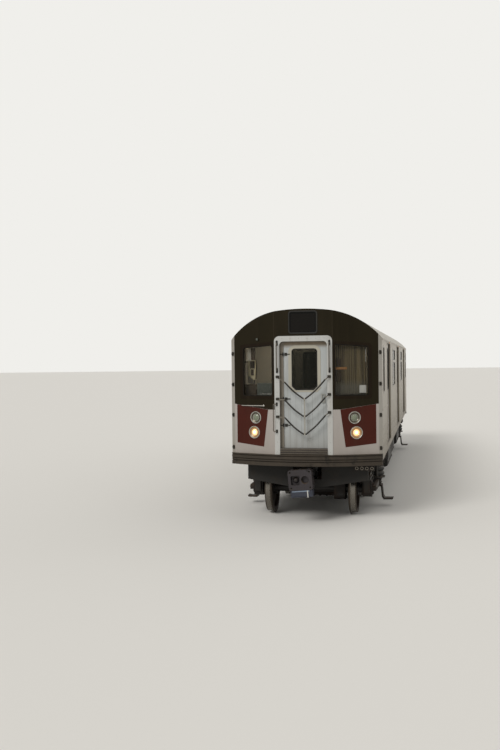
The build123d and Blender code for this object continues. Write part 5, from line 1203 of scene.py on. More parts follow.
def sign_bezel():
    """A slim frame round the blank sign glass."""
    low, high = 3.233, 3.603
    middle = (0, (low + high) / 2)
    outer = rounded(0.500, high - low + 0.024, 0.050, middle)
    inner = rounded(0.452, high - low - 0.024, 0.034, middle)
    keep("sign_bezel", plate([outer, inner], 0.007, front_plane(nose_y), 0.002), fitting_black)


def sill_treads():
    """Ribbed treads on the steps below the front door."""
    parts = []
    for z, proud in ((1.187, 0.024), (1.229, 0.016), (1.264, 0.008)):
        front = portal_face - proud
        for rib in range(3):
            y = front + 0.006 + rib * 0.006
            if y <= nose_y - 0.013:
                parts.append(block((-0.395, y, z + 0.0115), (0.395, y + 0.0025, z + 0.0145), 0.0008))
        parts.append(block((-0.404, front - 0.0015, z + 0.002), (0.404, front + 0.0005, z + 0.0105), 0.0006))
    keep("sill_treads", parts, dark_tube)


def climber_rivets():
    """One row along the anticlimbers, which bow back towards the corners."""
    bow = 0.350
    heads = []
    for at in range(17):
        x = (at / 8 - 1) * 1.24
        y = nose_y - 0.072 + bow * (x / half_width) ** 2
        way = Vector((2 * bow * x / half_width**2, -1, 0)).normalized()
        heads.append((Vector((x, y, 1.030)) + way * 0.0005, way))
    keep_bolts("climber_rivets", heads, 0.010, 0.006, beam_grey, 12, 0.85)


def wiper():
    """The driver's wiper, parked level below the left windscreen."""
    seat = facet_seat(-1, *wiper_at)
    hub = [(0.018, 0), (0.018, 0.006), (0.013, 0.009), (0.012, 0.017), (0.009, 0.0195), (0, 0.020)]
    rings = []
    for reach, high, thick, rise in (
        (-0.004, 0.0080, 0.0035, 0.0145),
        (0.100, 0.0076, 0.0032, 0.0150),
        (0.300, 0.0068, 0.0028, 0.0160),
        (0.436, 0.0050, 0.0024, 0.0160),
    ):
        corners = ((-high, -thick), (high, -thick), (high, thick), (-high, thick))
        rings.append([seat @ Vector((-reach, up, rise + out)) for up, out in corners])
    rod = [seat @ Vector((-reach, -0.0045, 0.0115)) for reach in (0.100, 0.250, 0.430)]
    arm = keep("wiper_arm", [turned(hub, seat, 20), loft(rings), tube(rod, 0.0026, 8)], bezel_bright)
    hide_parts("wipers")
    corners = ((-0.0070, 0.0082), (-0.0030, 0.0082), (-0.0022, 0.0120), (-0.0078, 0.0120))
    blade = []
    for reach in (0.020, 0.150, 0.300, 0.434):
        blade.append([seat @ Vector((-reach, up, out)) for up, out in corners])
    keep("wiper_blade", loft(blade), seal_rubber)


def screen_frames():
    """A flat frame outside the rubber of each windscreen, and a cover on the small round fixture."""
    growth = ((-0.018, -0.052), (0.050, -0.052), (0.050, 0.048), (-0.018, 0.048))
    parts = []
    for side in (-1, 1):
        inner = [(from_knee(side, x), z) for x, z in screens]
        outer = []
        for (x, z), (grow_x, grow_z) in zip(screens, growth):
            outer.append((from_knee(side, x + grow_x), z + grow_z))
        outlines = [softened(outer, 0.050), softened(inner, 0.044)]
        parts.append(plate(outlines, 0.0028, facet_plane(side), 0.001))
    keep("screen_frames", parts, frame_brown)
    seat = facet_seat(-1, 0.804, 3.140, 0.020)
    dome = [(0.021, 0), (0.021, 0.004), (0.017, 0.009), (0.010, 0.012), (0, 0.013)]
    keep("mask_lamp_glass", turned(dome, seat, 24), hood_green)


def leaf_fittings():
    """Pane, gasket and nosing of every leaf of the side doors."""
    wide, low, high, corner = leaf_pane
    tall = high - low
    for (side, side_name), (way, way_name) in product(side_names, ((-1, "fore"), (1, "aft"))):
        body = f"{side_name}_{way_name}_leaves"
        panes = []
        gaskets = []
        noses = []
        for station in door_stations:
            middle = (side * (station + way * leaf_pane_y), (low + high) / 2)
            pane = rounded(wide - 0.004, tall - 0.004, corner - 0.002, middle)
            panes.append(plate([pane], 0.008, side_plane(side, leaf_x - 0.004), 0.001))
            outer = rounded(wide + 0.030, tall + 0.030, corner + 0.015, middle)
            inner = rounded(wide - 0.016, tall - 0.016, corner - 0.008, middle)
            for face in (leaf_x + leaf_face - 0.0005, leaf_x - leaf_face - 0.0035):
                gaskets.append(plate([outer, inner], 0.004, side_plane(side, face), 0.0012))
            lining = [rounded(wide, tall, corner, middle), inner]
            gaskets.append(plate(lining, 2 * leaf_face, side_plane(side, leaf_x - leaf_face), 0.0005))
            edge_y = station + way * leaf_gap
            for face in (leaf_x + leaf_face - 0.0005, leaf_x - leaf_face - 0.0025):
                foot = (side * face, edge_y, floor_z + 0.012)
                head = (side * (face + 0.003), edge_y + way * 0.034, door_head_z + 0.004)
                noses.append(block(foot, head, 0.001))
        keep(f"{body}_panes", panes, leaf_glass, body)
        keep(f"{body}_gaskets", gaskets, seal_rubber, body)
        keep(f"{body}_nosing", noses, seal_rubber, body)


def side_fittings():
    """Lamps over the side doors, and ribbed treads at their sills."""
    bulb = [(0.013, 0), (0.013, 0.004), (0.009, 0.008), (0, 0.010)]
    bulbs = []
    hoods = []
    treads = []
    for side, station in product((-1, 1), door_stations):
        hood_face = side_plane(side, half_width + 0.004)
        hoods.append(panel(0.120, 0.040, 0.014, (side * station, 3.100), 0.008, hood_face, 0.002))
        for shift in (-0.030, 0.030):
            seat = moved(side_plane(side, half_width + 0.011), side * station + shift, 3.100)
            bulbs.append(turned(bulb, seat, 18))
        low_x = min(side * 1.284, side * 1.3095)
        for rib in range(4):
            x = low_x + 0.003 + rib * 0.006
            foot = (x, station - 0.683, floor_z)
            treads.append(block(foot, (x + 0.003, station + 0.683, floor_z + 0.003), 0.0008))
    keep("door_lamp_hoods", hoods, leaf_steel)
    keep("door_lamps", bulbs, amber_lens)
    keep("door_treads", treads, dark_tube)


def lamps_in_front():
    """The four lamps: bezels, ribbed bowls, rings and lenses."""
    bezels = []
    bowls = ([], [])
    lenses = ([], [])
    for side, (lower, (x, z, radius)) in product((-1, 1), enumerate(lamps)):
        lens = radius * lens_share
        seat = facet_seat(side, x, z)
        in_radius = radius - 0.018
        rim = [(radius, -0.030), (radius, 0.005), (radius - 0.005, 0.012), (radius - 0.013, 0.012)]
        rim += [(in_radius, 0.007), (in_radius, -0.030)]
        bezels.append(turned(rim, seat, 56, ring=True))
        bowl = [(radius - 0.017, 0.004), (radius - 0.027, 0.0005)]
        bowl += [(lens + 0.016, -0.009), (lens + 0.008, -0.012)]
        bowls[lower].append(turned(bowl, seat, 96, ripple=0.0016))
        collar = [(lens + 0.012, -0.016), (lens + 0.012, -0.007), (lens + 0.009, -0.003)]
        collar += [(lens + 0.004, -0.003), (lens + 0.001, -0.007), (lens + 0.001, -0.016)]
        bezels.append(turned(collar, seat, 44, ring=True))
        dome = [(lens + 0.002, -0.014)]
        for share in (1.0, 0.85, 0.65, 0.4, 0.2, 0):
            dome.append((lens * share, -0.010 + 0.014 * (1 - share**2)))
        lenses[lower].append(turned(dome, seat, 40))
    bezel = keep("headlamp_bezels", bezels, bezel_bright)
    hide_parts("headlamps")
    for lower, word in enumerate(("upper", "lower")):
        keep(f"{word}_lamp_bowls", bowls[lower], lamp_bowl(f"{word}_bowl", lower))
        keep(f"{word}_lamp_lenses", lenses[lower], lamp_lens(f"{word}_lens", lower))


# Inside: soft pads, the cab and the saloon
def cushion(wide, deep, thick, place, channels):
    """A crowned pad whose sides pull in between its corners, with sewn channels across it."""
    cells = 26
    work = bmesh.new()
    grids = []
    for face in (1, -1):
        grid = []
        for row, column in product(range(cells + 1), repeat=2):
            u = sin((column / cells - 0.5) * pi)
            v = sin((row / cells - 0.5) * pi)
            x = wide / 2 * u * (1 - 0.035 * (1 - v * v)) * (1 - 0.05 * u * u * v * v)
            y = deep / 2 * v * (1 - 0.035 * (1 - u * u)) * (1 - 0.05 * u * u * v * v)
            crown = ((1 - u**6) * (1 - v**6)) ** 0.5
            lift = thick / 2 * crown * (0.80 + 0.20 * (1 - u * u) * (1 - v * v))
            if face > 0:
                for channel in range(channels):
                    middle = -1 + 2 * (channel + 1) / (channels + 1)
                    lift -= 0.008 * crown / (1 + ((v - middle) / 0.035) ** 2)
            if column == 0:
                grid.append([])
            rim = row in (0, cells) or column in (0, cells)
            if face < 0 and rim:
                grid[row].append(grids[0][row][column])
            else:
                grid[row].append(work.verts.new((x, y, 0 if rim else face * lift)))
        grids.append(grid)
        for low, high in zip(grid, grid[1:]):
            for at in range(cells):
                corners = [low[at], low[at + 1], high[at + 1], high[at]]
                work.faces.new(corners[::face])
    bmesh.ops.recalc_face_normals(work, faces=work.faces)
    rim = [(0, at) for at in range(cells)] + [(at, cells) for at in range(cells)]
    rim += [(cells, cells - at) for at in range(cells)] + [(cells - at, 0) for at in range(cells)]
    rim_points = [place @ grids[0][row][column].co for row, column in rim]
    work.transform(place)
    return joined([mesh_from(work), tube(rim_points, 0.0040, 8, 0.001, True)])


def cab_seat():
    x, y = -0.840, -6.640
    pad_top = 1.668
    half_pad = 0.045
    pad_place = top_plane(pad_top - half_pad, x, y)
    pad = keep("cab_seat_pad", cushion(0.436, 0.436, 0.088, pad_place, 2), seat_weave)
    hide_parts("cab_seat")
    back_place = rear_plane(-6.4575, x, 1.878) @ Matrix.Rotation(pi, 4, "Y")
    rest = keep("cab_seat_back", cushion(0.396, 0.496, 0.068, back_place, 3), seat_weave)
    foot = [(0, 0), (0.186, 0), (0.190, 0.004), (0.190, 0.012), (0.150, 0.026), (0.062, 0.030)]
    foot += [(0.048, 0.044), (0.045, 0.060), (0.045, 0.200), (0.036, 0.204), (0.036, 0.372)]
    foot += [(0.070, 0.386), (0.070, 0.398), (0, 0.398)]
    parts = [turned(foot, top_plane(floor_z, x, y), 40)]
    parts.append(panel(0.360, 0.360, 0.050, (0, 0), 0.010, top_plane(1.574, x, y), 0.003))
    for rail_x in (x - 0.120, x + 0.120):
        run = [(rail_x, -6.60, 1.580), (rail_x, -6.424, 1.585), (rail_x, -6.418, 2.05)]
        parts.append(tube(run, 0.010, 12, 0.05))
    lever = [(x + 0.170, -6.70, 1.572), (x + 0.225, -6.70, 1.566), (x + 0.236, -6.76, 1.560)]
    parts.append(tube(lever, 0.006, 8))
    keep("cab_seat_frame", parts, fitting_black)


def cab_desk_controls():
    """Handles, dials, a blank display and rows of buttons on the driver's desk."""
    top = 2.118
    shell = []
    for x in (-1.196, -0.880):
        shell.append([(x, -7.230, top), (x, -7.230, top + 0.150), (x, -7.205, top + 0.150), (x, -7.145, top)])
    keep("cab_desk_panel", [loft(shell)], desk_shell)
    hood = []
    for x, shrink in ((-0.872, 0.014), (-0.858, 0.0), (-0.594, 0.0), (-0.580, 0.014)):
        ring = [(x, -7.270, top), (x, -7.270, top + 0.252 - shrink), (x, -7.246, top + 0.268 - shrink)]
        ring += [(x, -7.110 - shrink, top + 0.262 - shrink), (x, -7.070 - shrink, top + 0.200 - shrink)]
        hood.append(ring + [(x, -7.050 - shrink, top)])
    keep("instrument_hood", loft(hood), hood_green, sharp=50)

    face = placed((-1.038, -7.1740, top + 0.075), (-1, 0, 0), Vector((0, -0.42, 0.9)).normalized())
    rim = [(0.040, 0), (0.040, 0.006), (0.036, 0.009), (0.034, 0.006), (0.034, 0)]
    dials = []
    rims = []
    needles = []
    for shift in (-0.105, 0.0, 0.105):
        at = moved(face, shift, 0)
        rims.append(turned(rim, at, 32, True))
        dials.append(turned([(0.0335, 0.001), (0.0335, 0.003), (0, 0.003)], at, 28))
        needle_place = moved(at, 0, 0, 0.0042)
        needles.append(panel(0.0022, 0.040, 0.001, (0.004, 0.004), 0.0012, needle_place, 0.0003))
        needles.append(turned([(0.005, 0.003), (0.005, 0.006), (0, 0.007)], at, 12))
    keep("gauge_rims", rims, bezel_bright)
    keep("gauge_dials", dials, gauge_white)
    keep("gauge_needles", needles, display_black)

    boot = [(0.052, 0), (0.052, 0.010), (0.044, 0.020), (0.020, 0.026), (0, 0.026)]
    knob = [(0, 0), (0.012, 0.002), (0.015, 0.012), (0.014, 0.060), (0.010, 0.070), (0, 0.072)]
    parts = []
    for x, lean in ((-1.060, 0.5), (-0.700, -0.35)):
        parts.append(turned(boot, top_plane(top, x, -7.010), 32))
        tip = (x + 0.050 * lean, -7.010 + 0.060, top + 0.118)
        parts.append(tube([(x, -7.010, top + 0.018), (x, -7.000, top + 0.070), tip], 0.0080, 12))
        knob_place = placed((tip[0] - 0.036, tip[1], tip[2]), (0, 1, 0), (0, 0, 1))
        parts.append(turned(knob, knob_place, 20))
    keep("drive_handles", parts, fitting_black)
    heads = []
    for y in (-6.965, -6.965 - 0.045):
        heads += row_of((-0.960, y, top), (-0.790, y, top), 5, to_sky)
    keep_bolts("desk_buttons", heads, 0.0125, 0.010, amber_lens, 18, 0.76)
    screen = placed((-0.703, -7.0560, top + 0.105), (-1, 0, 0), Vector((0, -0.18, 0.98)).normalized())
    keep("desk_display", [panel(0.170, 0.120, 0.010, (0, 0), 0.006, screen, 0.002)], display_black)
    hook = [(-0.690, -6.960, 1.800), (-0.690, -6.930, 1.800), (-0.690, -6.930, 1.770)]
    foot_rest = panel(0.300, 0.200, 0.020, (0, 0), 0.012, rear_plane(-6.975, -0.860, 1.330), 0.004)
    keep("desk_hooks", [tube(hook, 0.006, 8, 0.012), foot_rest], fitting_black)


def cab_equipment():
    """The equipment box behind the left windscreen, its bracket, slats and the sun visor."""
    taper = []
    for z, x in ((2.500, -1.020), (2.440, -0.955)):
        taper.append([(x, -7.200, z), (-0.915, -7.200, z), (-0.915, -7.120, z), (x, -7.120, z)])
    box = block((-1.041, -7.205, 2.500), (-0.911, -7.105, 2.783), 0.010)
    keep("equipment_box", [box, loft(taper)], cab_cream)
    parts = []
    for wide, tall, z in ((0.082, 0.130, 2.702), (0.052, 0.108, 2.570)):
        parts.append(panel(wide, tall, 0.006, (-0.966, z), 0.004, front_plane(-7.2035), 0.001))
    keep("equipment_windows", parts, visor_brown)
    arm = [(-0.945, -7.150, 2.446), (-0.945, -7.150, 2.30), (-0.900, -7.140, 2.114)]
    cable = [(-0.895, -7.240, 2.800), (-0.880, -7.240, 2.66), (-0.905, -7.200, 2.455)]
    shelf = block((-1.200, -7.180, 2.745), (-1.035, -7.150, 2.765), 0.003)
    keep("equipment_bracket", [tube(arm, 0.013, 12, 0.06), tube(cable, 0.009, 10, 0.08), shelf], drawbar_iron)

    parts = []
    for at in range(4):
        x = 0.988 + at * 0.018
        parts.append(block_on(-1, (x, 2.775, -0.100), (x + 0.013, 2.972, -0.094)))
    parts.append(block((-1.082, -7.080, 2.370), (-0.975, -7.072, 2.700)))
    keep("window_side_slats", parts, partition_panel)
    parts = [block_on(-1, (0.905, 2.790, -0.110), (0.985, 2.995, -0.096), 0.004)]
    parts.append(block((-1.100, -7.262, 2.125), (-0.885, -7.236, 2.362), 0.006))
    keep("sun_visor", parts, visor_brown)


def cab_blinds():
    """The blind behind the right windscreen with its box and strap, a blank card, bright
    strips behind both windscreens that paint a highlight along their edges, and the lights of the cab."""
    parts = []
    for at in range(17):
        x = 0.655 + at * 0.0235
        deep = -0.066 - 0.005 * (at % 2)
        parts.append(block_on(1, (x, 2.190, deep), (x + 0.021, 3.050, deep + 0.004), 0.001))
    parts.append(block_on(1, (0.520, 2.130, -0.112), (1.080, 3.060, -0.108), 0.001))
    keep("slatted_blind", parts, blind_olive)
    parts = [block_on(1, (0.548, 2.400, -0.104), (0.650, 2.606, -0.086), 0.004)]
    parts.append(block_on(1, (0.590, 2.656, -0.104), (0.650, 2.800, -0.086), 0.004))
    keep("blind_box", parts, visor_brown)
    keep("blind_strap", [block_on(1, (0.548, 2.612, -0.060), (0.745, 2.650, -0.055))], tan_strap)
    keep("blank_card", [block_on(1, (0.942, 2.211, -0.0300), (1.052, 2.342, -0.0285), 0.0005)], gauge_white)
    # Painted highlight: polished strips behind the glass stand for the light edge of each windscreen.
    parts = [block_on(1, (1.046, 2.735, -0.052), (1.056, 2.960, -0.046))]
    parts.append(block_on(-1, (0.563, 2.200, -0.060), (0.571, 2.985, -0.052)))
    parts.append(block_on(-1, (0.571, 2.196, -0.060), (0.800, 2.204, -0.052)))
    keep("screen_edge_highlights", parts, bezel_bright)
    parts = []
    for x in (-0.300, 0.300):
        parts.append(panel(0.300, 0.900, 0.030, (0, 0), 0.030, top_plane(3.228, x, -6.850), 0.006))
    keep("cab_lights", parts, cab_light)


def cab_partition_trim():
    """Frame of the cab doorway on the saloon side, a notice frame that is blank, and a grille."""
    behind = rear_plane(-6.250)
    opening = [(-0.374, 1.182), (0.374, 1.182), (0.374, 3.172), (-0.374, 3.172)]
    outer = [(-0.424, 1.182), (0.424, 1.182), (0.424, 3.210), (-0.424, 3.210)]
    parts = [plate([outer, opening], 0.006, behind, 0.002)]
    cards = []
    for x in (-0.810, 0.810):
        middle = (x, 2.560)
        outline = [rounded(0.420, 0.560, 0.015, middle), rounded(0.380, 0.520, 0.008, middle)]
        parts.append(plate(outline, 0.012, behind, 0.003))
        for slot in range(9):
            parts.append(panel(0.360, 0.013, 0.005, (x, 1.300 + slot * 0.026), 0.006, behind, 0.002))
        cards.append(panel(0.376, 0.516, 0.006, middle, 0.003, behind, 0.0005))
    keep("partition_trim", parts, leaf_steel)
    keep("partition_cards", cards, gauge_white)


def cab_door_trim():
    """Pane, gasket, handle and kick plate of the cab door."""
    body = "cab_door"
    middle = (0, 2.598)
    behind = rear_plane(-6.256)
    pane = panel(0.356, 0.636, 0.038, middle, 0.006, rear_plane(-6.276), 0.001)
    keep("cab_door_pane", pane, leaf_glass, body)
    ring = [rounded(0.384, 0.664, 0.052, middle), rounded(0.344, 0.624, 0.032, middle)]
    lining = [rounded(0.360, 0.640, 0.040, middle), ring[1]]
    parts = [plate(ring, 0.004, behind, 0.0012), plate(ring, 0.0035, front_plane(-6.290), 0.0012)]
    parts.append(plate(lining, 0.034, moved(behind, 0, 0, -0.034), 0.0005))
    keep("cab_door_gasket", parts, seal_rubber, body)
    parts = [panel(0.600, 0.260, 0.010, (0, 1.350), 0.0025, behind, 0.001)]
    parts.append(panel(0.050, 0.170, 0.012, (0.290, 2.120), 0.004, behind, 0.001))
    keep("cab_door_plates", parts, leaf_steel, body)


def spans(low, high, count, gap):
    """Equal spans along a line with a gap after each."""
    step = (high - low) / count
    return [(low + at * step, low + (at + 1) * step - gap) for at in range(count)]


def ceiling_fittings():
    """Light strips, air slots and lipped ends on the ceiling."""
    down = placed((0, 0, ceiling_z), (1, 0, 0), (0, -1, 0))
    lights = []
    frames = []
    for x, (low, high) in product((-0.560, 0.560), spans(*saloon_y, 11, 0.030)):
        middle = (x, -(low + high) / 2)
        outline = rounded(0.150, high - low, 0.012, middle)
        lights.append(plate([outline], 0.026, down, 0.008))
        frames.append(plate([rounded(0.186, high - low + 0.022, 0.016, middle), outline], 0.010, down, 0.003))
    for (low, high), slot in product(spans(*saloon_y, 11, 0.30), range(7)):
        middle = ((slot - 3) * 0.034, -(low + high) / 2)
        frames.append(panel(0.014, high - low, 0.006, middle, 0.006, down, 0.002))
    keep("saloon_lights", lights, light_panel)
    keep("ceiling_frames", frames, leaf_steel)


def pole_flanges():
    """Flanges where the poles meet the floor, and collars at the rail."""
    flange = [(0.0165, 0), (0.044, 0), (0.044, 0.006), (0.024, 0.012), (0.0165, 0.022)]
    collar = [(0.0165, -0.030), (0.0235, -0.028), (0.0235, 0.028), (0.0165, 0.030)]
    parts = []
    for x, ends in product((-0.720, 0.720), benches):
        for y in ends:
            parts.append(turned(flange, top_plane(floor_z, x, y), 24, True))
            parts.append(turned(collar, top_plane(2.978, x, y), 20, True))
    keep("pole_flanges", parts, bezel_bright)


def bench_trim():
    """A bright strip along the front edge of each bench, and round feet under it."""
    shoe = [(0, 0), (0.045, 0), (0.045, 0.006), (0.022, 0.012), (0, 0.012)]
    parts = []
    for side, (low, high) in product((-1, 1), benches):
        x = side * 0.7665
        parts.append(tube([(x, low + 0.010, 1.611), (x, high - 0.010, 1.611)], 0.0060, 10))
        for y in (low + 0.30, (low + high) / 2, high - 0.30):
            parts.append(tube([(side * 0.860, y, 1.530), (side * 0.880, y, 1.190)], 0.018, 14))
            parts.append(turned(shoe, top_plane(floor_z, side * 0.880, y), 20))
    keep("bench_trim", parts, bezel_bright)


def blank_cards():
    """Card frames along the sloped ceiling. The cards are blank."""
    cards = []
    frames = []
    fall = (ceiling_z - 3.118) / (inner_x - 0.700)
    for side in (-1, 1):
        down = Vector((side, 0, -fall)).normalized()
        place = placed((side * 0.955, 0, ceiling_z - 0.255 * fall), (0, -side, 0), down)
        for low, high in spans(*saloon_y, 15, 0.080):
            middle = (-side * (low + high) / 2, 0)
            inner = rounded(high - low - 0.024, 0.276, 0.006, middle)
            cards.append(plate([inner], 0.003, place, 0.0006))
            frames.append(plate([rounded(high - low, 0.300, 0.010, middle), inner], 0.006, place, 0.002))
    keep("blank_cards", cards, card_pale)
    keep("card_frames", frames, leaf_steel)


# Doors at the ends, and the blind end
def end_door_fittings():
    """Gasket of the front door's window, and the plates and grip of the rear door."""
    wide, low, high, cut = door_window
    outlines = []
    for grow, radius in ((0.001, 0.040), (-0.013, 0.034)):
        left = door_window_x - wide / 2 - grow
        right = door_window_x + wide / 2 + grow
        foot = low - grow
        head = high + grow
        corners = [(left, foot + cut), (left + cut, foot), (right - cut, foot)]
        corners += [(right, foot + cut), (right, head), (left, head)]
        outlines.append(softened(corners, radius))
    gasket = plate(outlines, 0.006, front_plane(door_face + 0.004), 0.002)
    keep("front_door_gasket", [gasket], seal_rubber, "front_door")

    face = 7.5795
    kick_plate = panel(0.640, 0.300, 0.012, (0, 1.400), 0.0025, rear_plane(face), 0.001)
    hand_plate = panel(0.060, 0.200, 0.014, (0.300, 2.060), 0.004, rear_plane(face), 0.0015)
    keep("rear_door_plates", [kick_plate, hand_plate], dark_tube, "rear_door")
    grip = [(-0.300, face, 1.990), (-0.300, face + 0.040, 1.990), (-0.300, face + 0.040, 2.130)]
    keep("rear_door_grip", tube(grip + [(-0.300, face, 2.130)], 0.008, 12, 0.016), bezel_bright, "rear_door")


def blind_end_fittings():
    """Marker lamps, sockets and rows of rivets."""
    rear = rear_plane(tail_y)
    ring = [(0.052, 0), (0.052, 0.010), (0.046, 0.016), (0.040, 0.016), (0.038, 0.008), (0.038, 0)]
    lens = [(0.0385, 0.001), (0.0385, 0.010), (0.030, 0.016), (0.014, 0.019), (0, 0.020)]
    plug = [(0.044, 0), (0.044, 0.012), (0.034, 0.018), (0.034, 0.034), (0.030, 0.040), (0, 0.040)]
    hoods = []
    lenses = []
    heads = []
    for side in (-1, 1):
        seat = moved(rear, side * 1.020, 2.980)
        hoods.append(turned(ring, seat, 36, True))
        lenses.append(turned(lens, seat, 30))
        for x in (0.560, 0.680, 0.800):
            hoods.append(turned(plug, moved(rear, side * x, 1.330), 28))
            hoods.append(panel(0.104, 0.112, 0.012, (side * x, 1.330), 0.006, rear, 0.0015))
        for x0, z0, x1, z1, count in (
            (0.455, 1.240, 0.455, 3.040, 16),
            (1.230, 1.240, 1.230, 3.040, 16),
            (0.520, 1.240, 1.170, 1.240, 6),
            (0.100, 3.180, 1.100, 3.180, 9),
        ):
            heads += row_of((side * x0, tail_y, z0), (side * x1, tail_y, z1), count, to_rear)
    keep("blind_end_hoods", hoods, fitting_black)
    keep("marker_lenses", lenses, red_lens)
    keep_bolts("blind_end_rivets", heads, 0.0075, 0.0028, leaf_steel, 12, 0.8)


# Sides: rubber round the panes and rows of rivets
def side_seals():
    rim = 0.034
    bar_foot, bar_head = 2.710, 2.766  # of the bar between the lower and upper panes
    lights = []
    for middle, wide in saloon_windows:
        lights.append((middle, wide, window_z[0], bar_foot + rim))
        lights.append((middle, wide, bar_head - rim, window_z[1]))
    lights.append((cab_window_y, 0.480, *window_z))
    parts = []
    for side, (y, wide, low, high) in product((-1, 1), lights):
        wide = wide - 2 * rim
        tall = high - low - 2 * rim
        middle = (side * y, (low + high) / 2)
        outer = rounded(wide + 0.002, tall + 0.002, 0.030, middle)
        inner = rounded(wide - 0.020, tall - 0.020, 0.022, middle)
        parts.append(plate([outer, inner], 0.006, side_plane(side, half_width - 0.009), 0.002))
    keep("side_window_seals", parts, seal_rubber)


def side_rivets():
    sill_z, eave_z = 1.076, 3.126
    door_clear = 0.09  # the row at the eaves leaves out the door lamps
    heads = []
    for side in (-1, 1):
        x = side * half_width
        out = Vector((side, 0, 0))
        heads += row_of((x, -7.150, sill_z), (x, 7.560, sill_z), 124, out)
        for place, way in row_of((x, -7.150, eave_z), (x, 7.560, eave_z), 124, out):
            if min(abs(place.y - station) for station in door_stations) > door_clear:
                heads.append((place, way))
        for station, reach in product(door_stations, (-0.742, 0.742)):
            y = station + reach
            heads += row_of((x, y, 1.130), (x, y, 3.070), 15, out)
    keep_bolts("side_rivets", heads, 0.0062, 0.0020, leaf_steel, 10, 0.85)


def fan_blades():
    """The blades in the wells of the roof units."""
    half_thick = 0.0012
    stages = ((0.076, 0.030, 0.013), (0.150, 0.052, 0.012), (0.230, 0.066, 0.009), (0.276, 0.060, 0.006))
    parts = []
    for station, end, blade in product(unit_stations, (-1, 1), range(6)):
        middle = Vector((0, station + end * fan_reach, 3.586))
        turn = Matrix.Translation(middle) @ Matrix.Rotation(blade * pi / 3, 4, "Z")
        rings = []
        for reach, half, lean in stages:
            chord = ((-half, -lean), (0, 0.002), (half, lean))
            ring = [turn @ Vector((reach, across, rise + half_thick)) for across, rise in chord]
            ring += [turn @ Vector((reach, across, rise - half_thick)) for across, rise in chord[::-1]]
            rings.append(ring)
        parts.append(loft(rings))
    keep("fan_blades", parts, case_grey)


# Under the floor: pipes and conduits, latches and hinges, tank bands
def floor_pipes():
    parts = []
    for x, radius, reach in (
        (-0.120, 0.014, 4.40),
        (-0.075, 0.011, 4.25),
        (-0.020, 0.024, 4.55),
        (0.045, 0.017, 4.30),
        (0.095, 0.011, 4.15),
        (0.130, 0.009, 4.50),
    ):
        z = 1.036 - radius
        route = [(x, -reach, 1.146), (x, -reach, z), (x, reach, z), (x, reach, 1.146)]
        parts.append(tube(route, radius, 12, 0.10))
    for y in (-3.6, -2.4, -1.2, 0.0, 1.2, 2.4, 3.6):
        parts.append(block((-0.150, y - 0.018, 0.980), (0.150, y + 0.018, 0.985), 0.001))
        for x in (-0.147, 0.147):
            parts.append(block((x - 0.004, y - 0.018, 0.981), (x + 0.004, y + 0.018, 1.041), 0.001))
    keep("floor_pipes", parts, case_grey)


def case_fittings():
    """Latches, hinges and lugs of the equipment cases."""
    face = 1.202
    latches = []
    barrels = []
    for x0, x1, y0, y1, low in cases:
        side = 1 if x1 > -x0 else -1
        place = side_plane(side, face)
        count = max(1, round((y1 - y0) / 0.700))
        wide = (y1 - y0) / count
        for lid, shift in product(range(count), (-0.2, 0.2)):
            y = y0 + (lid + 0.5) * wide + shift * wide
            latches.append(panel(0.034, 0.052, 0.008, (side * y, low + 0.050), 0.004, place, 0.0015))
            latches.append(panel(0.016, 0.046, 0.006, (side * y, low + 0.056), 0.011, place, 0.003))
            x = side * (face + 0.002)
            barrels.append(tube([(x, y - 0.045, 1.014), (x, y + 0.045, 1.014)], 0.0075, 10))
        x = side * 1.150
        for y in (y0 + 0.10, y1 - 0.10):
            barrels.append(block((x - 0.020, y - 0.030, 1.036), (x + 0.020, y + 0.030, 1.042), 0.001))
    keep("case_latches", latches, drawbar_iron)
    keep("case_hinges", barrels, case_grey)


def tank_bands():
    """Bands, end plugs and drains of the air tanks."""
    plug = [(0.030, -0.010), (0.030, 0.010), (0.018, 0.012), (0.018, 0.022), (0, 0.024)]
    parts = []
    for x, y0, y1, radius in tanks:
        z = 1.000 - radius
        middle = (y0 + y1) / 2
        band = [(radius + 0.0005, -0.020), (radius + 0.005, -0.019)]
        band += [(radius + 0.005, 0.019), (radius + 0.0005, 0.020)]
        for y in (y0 + 0.22, middle + 0.13, y1 - 0.22):
            parts.append(turned(band, front_plane(y, x, z), 48, True))
        parts.append(turned(plug, front_plane(y0, x, z), 20))
        parts.append(turned(plug, rear_plane(y1, x, z), 20))
        drain_z = z - radius - 0.030
        drain = [(x, middle, z - radius + 0.004), (x, middle, drain_z), (x + 0.060, middle, drain_z)]
        parts.append(tube(drain, 0.008, 10, 0.012))
    keep("tank_bands", parts, drawbar_iron)


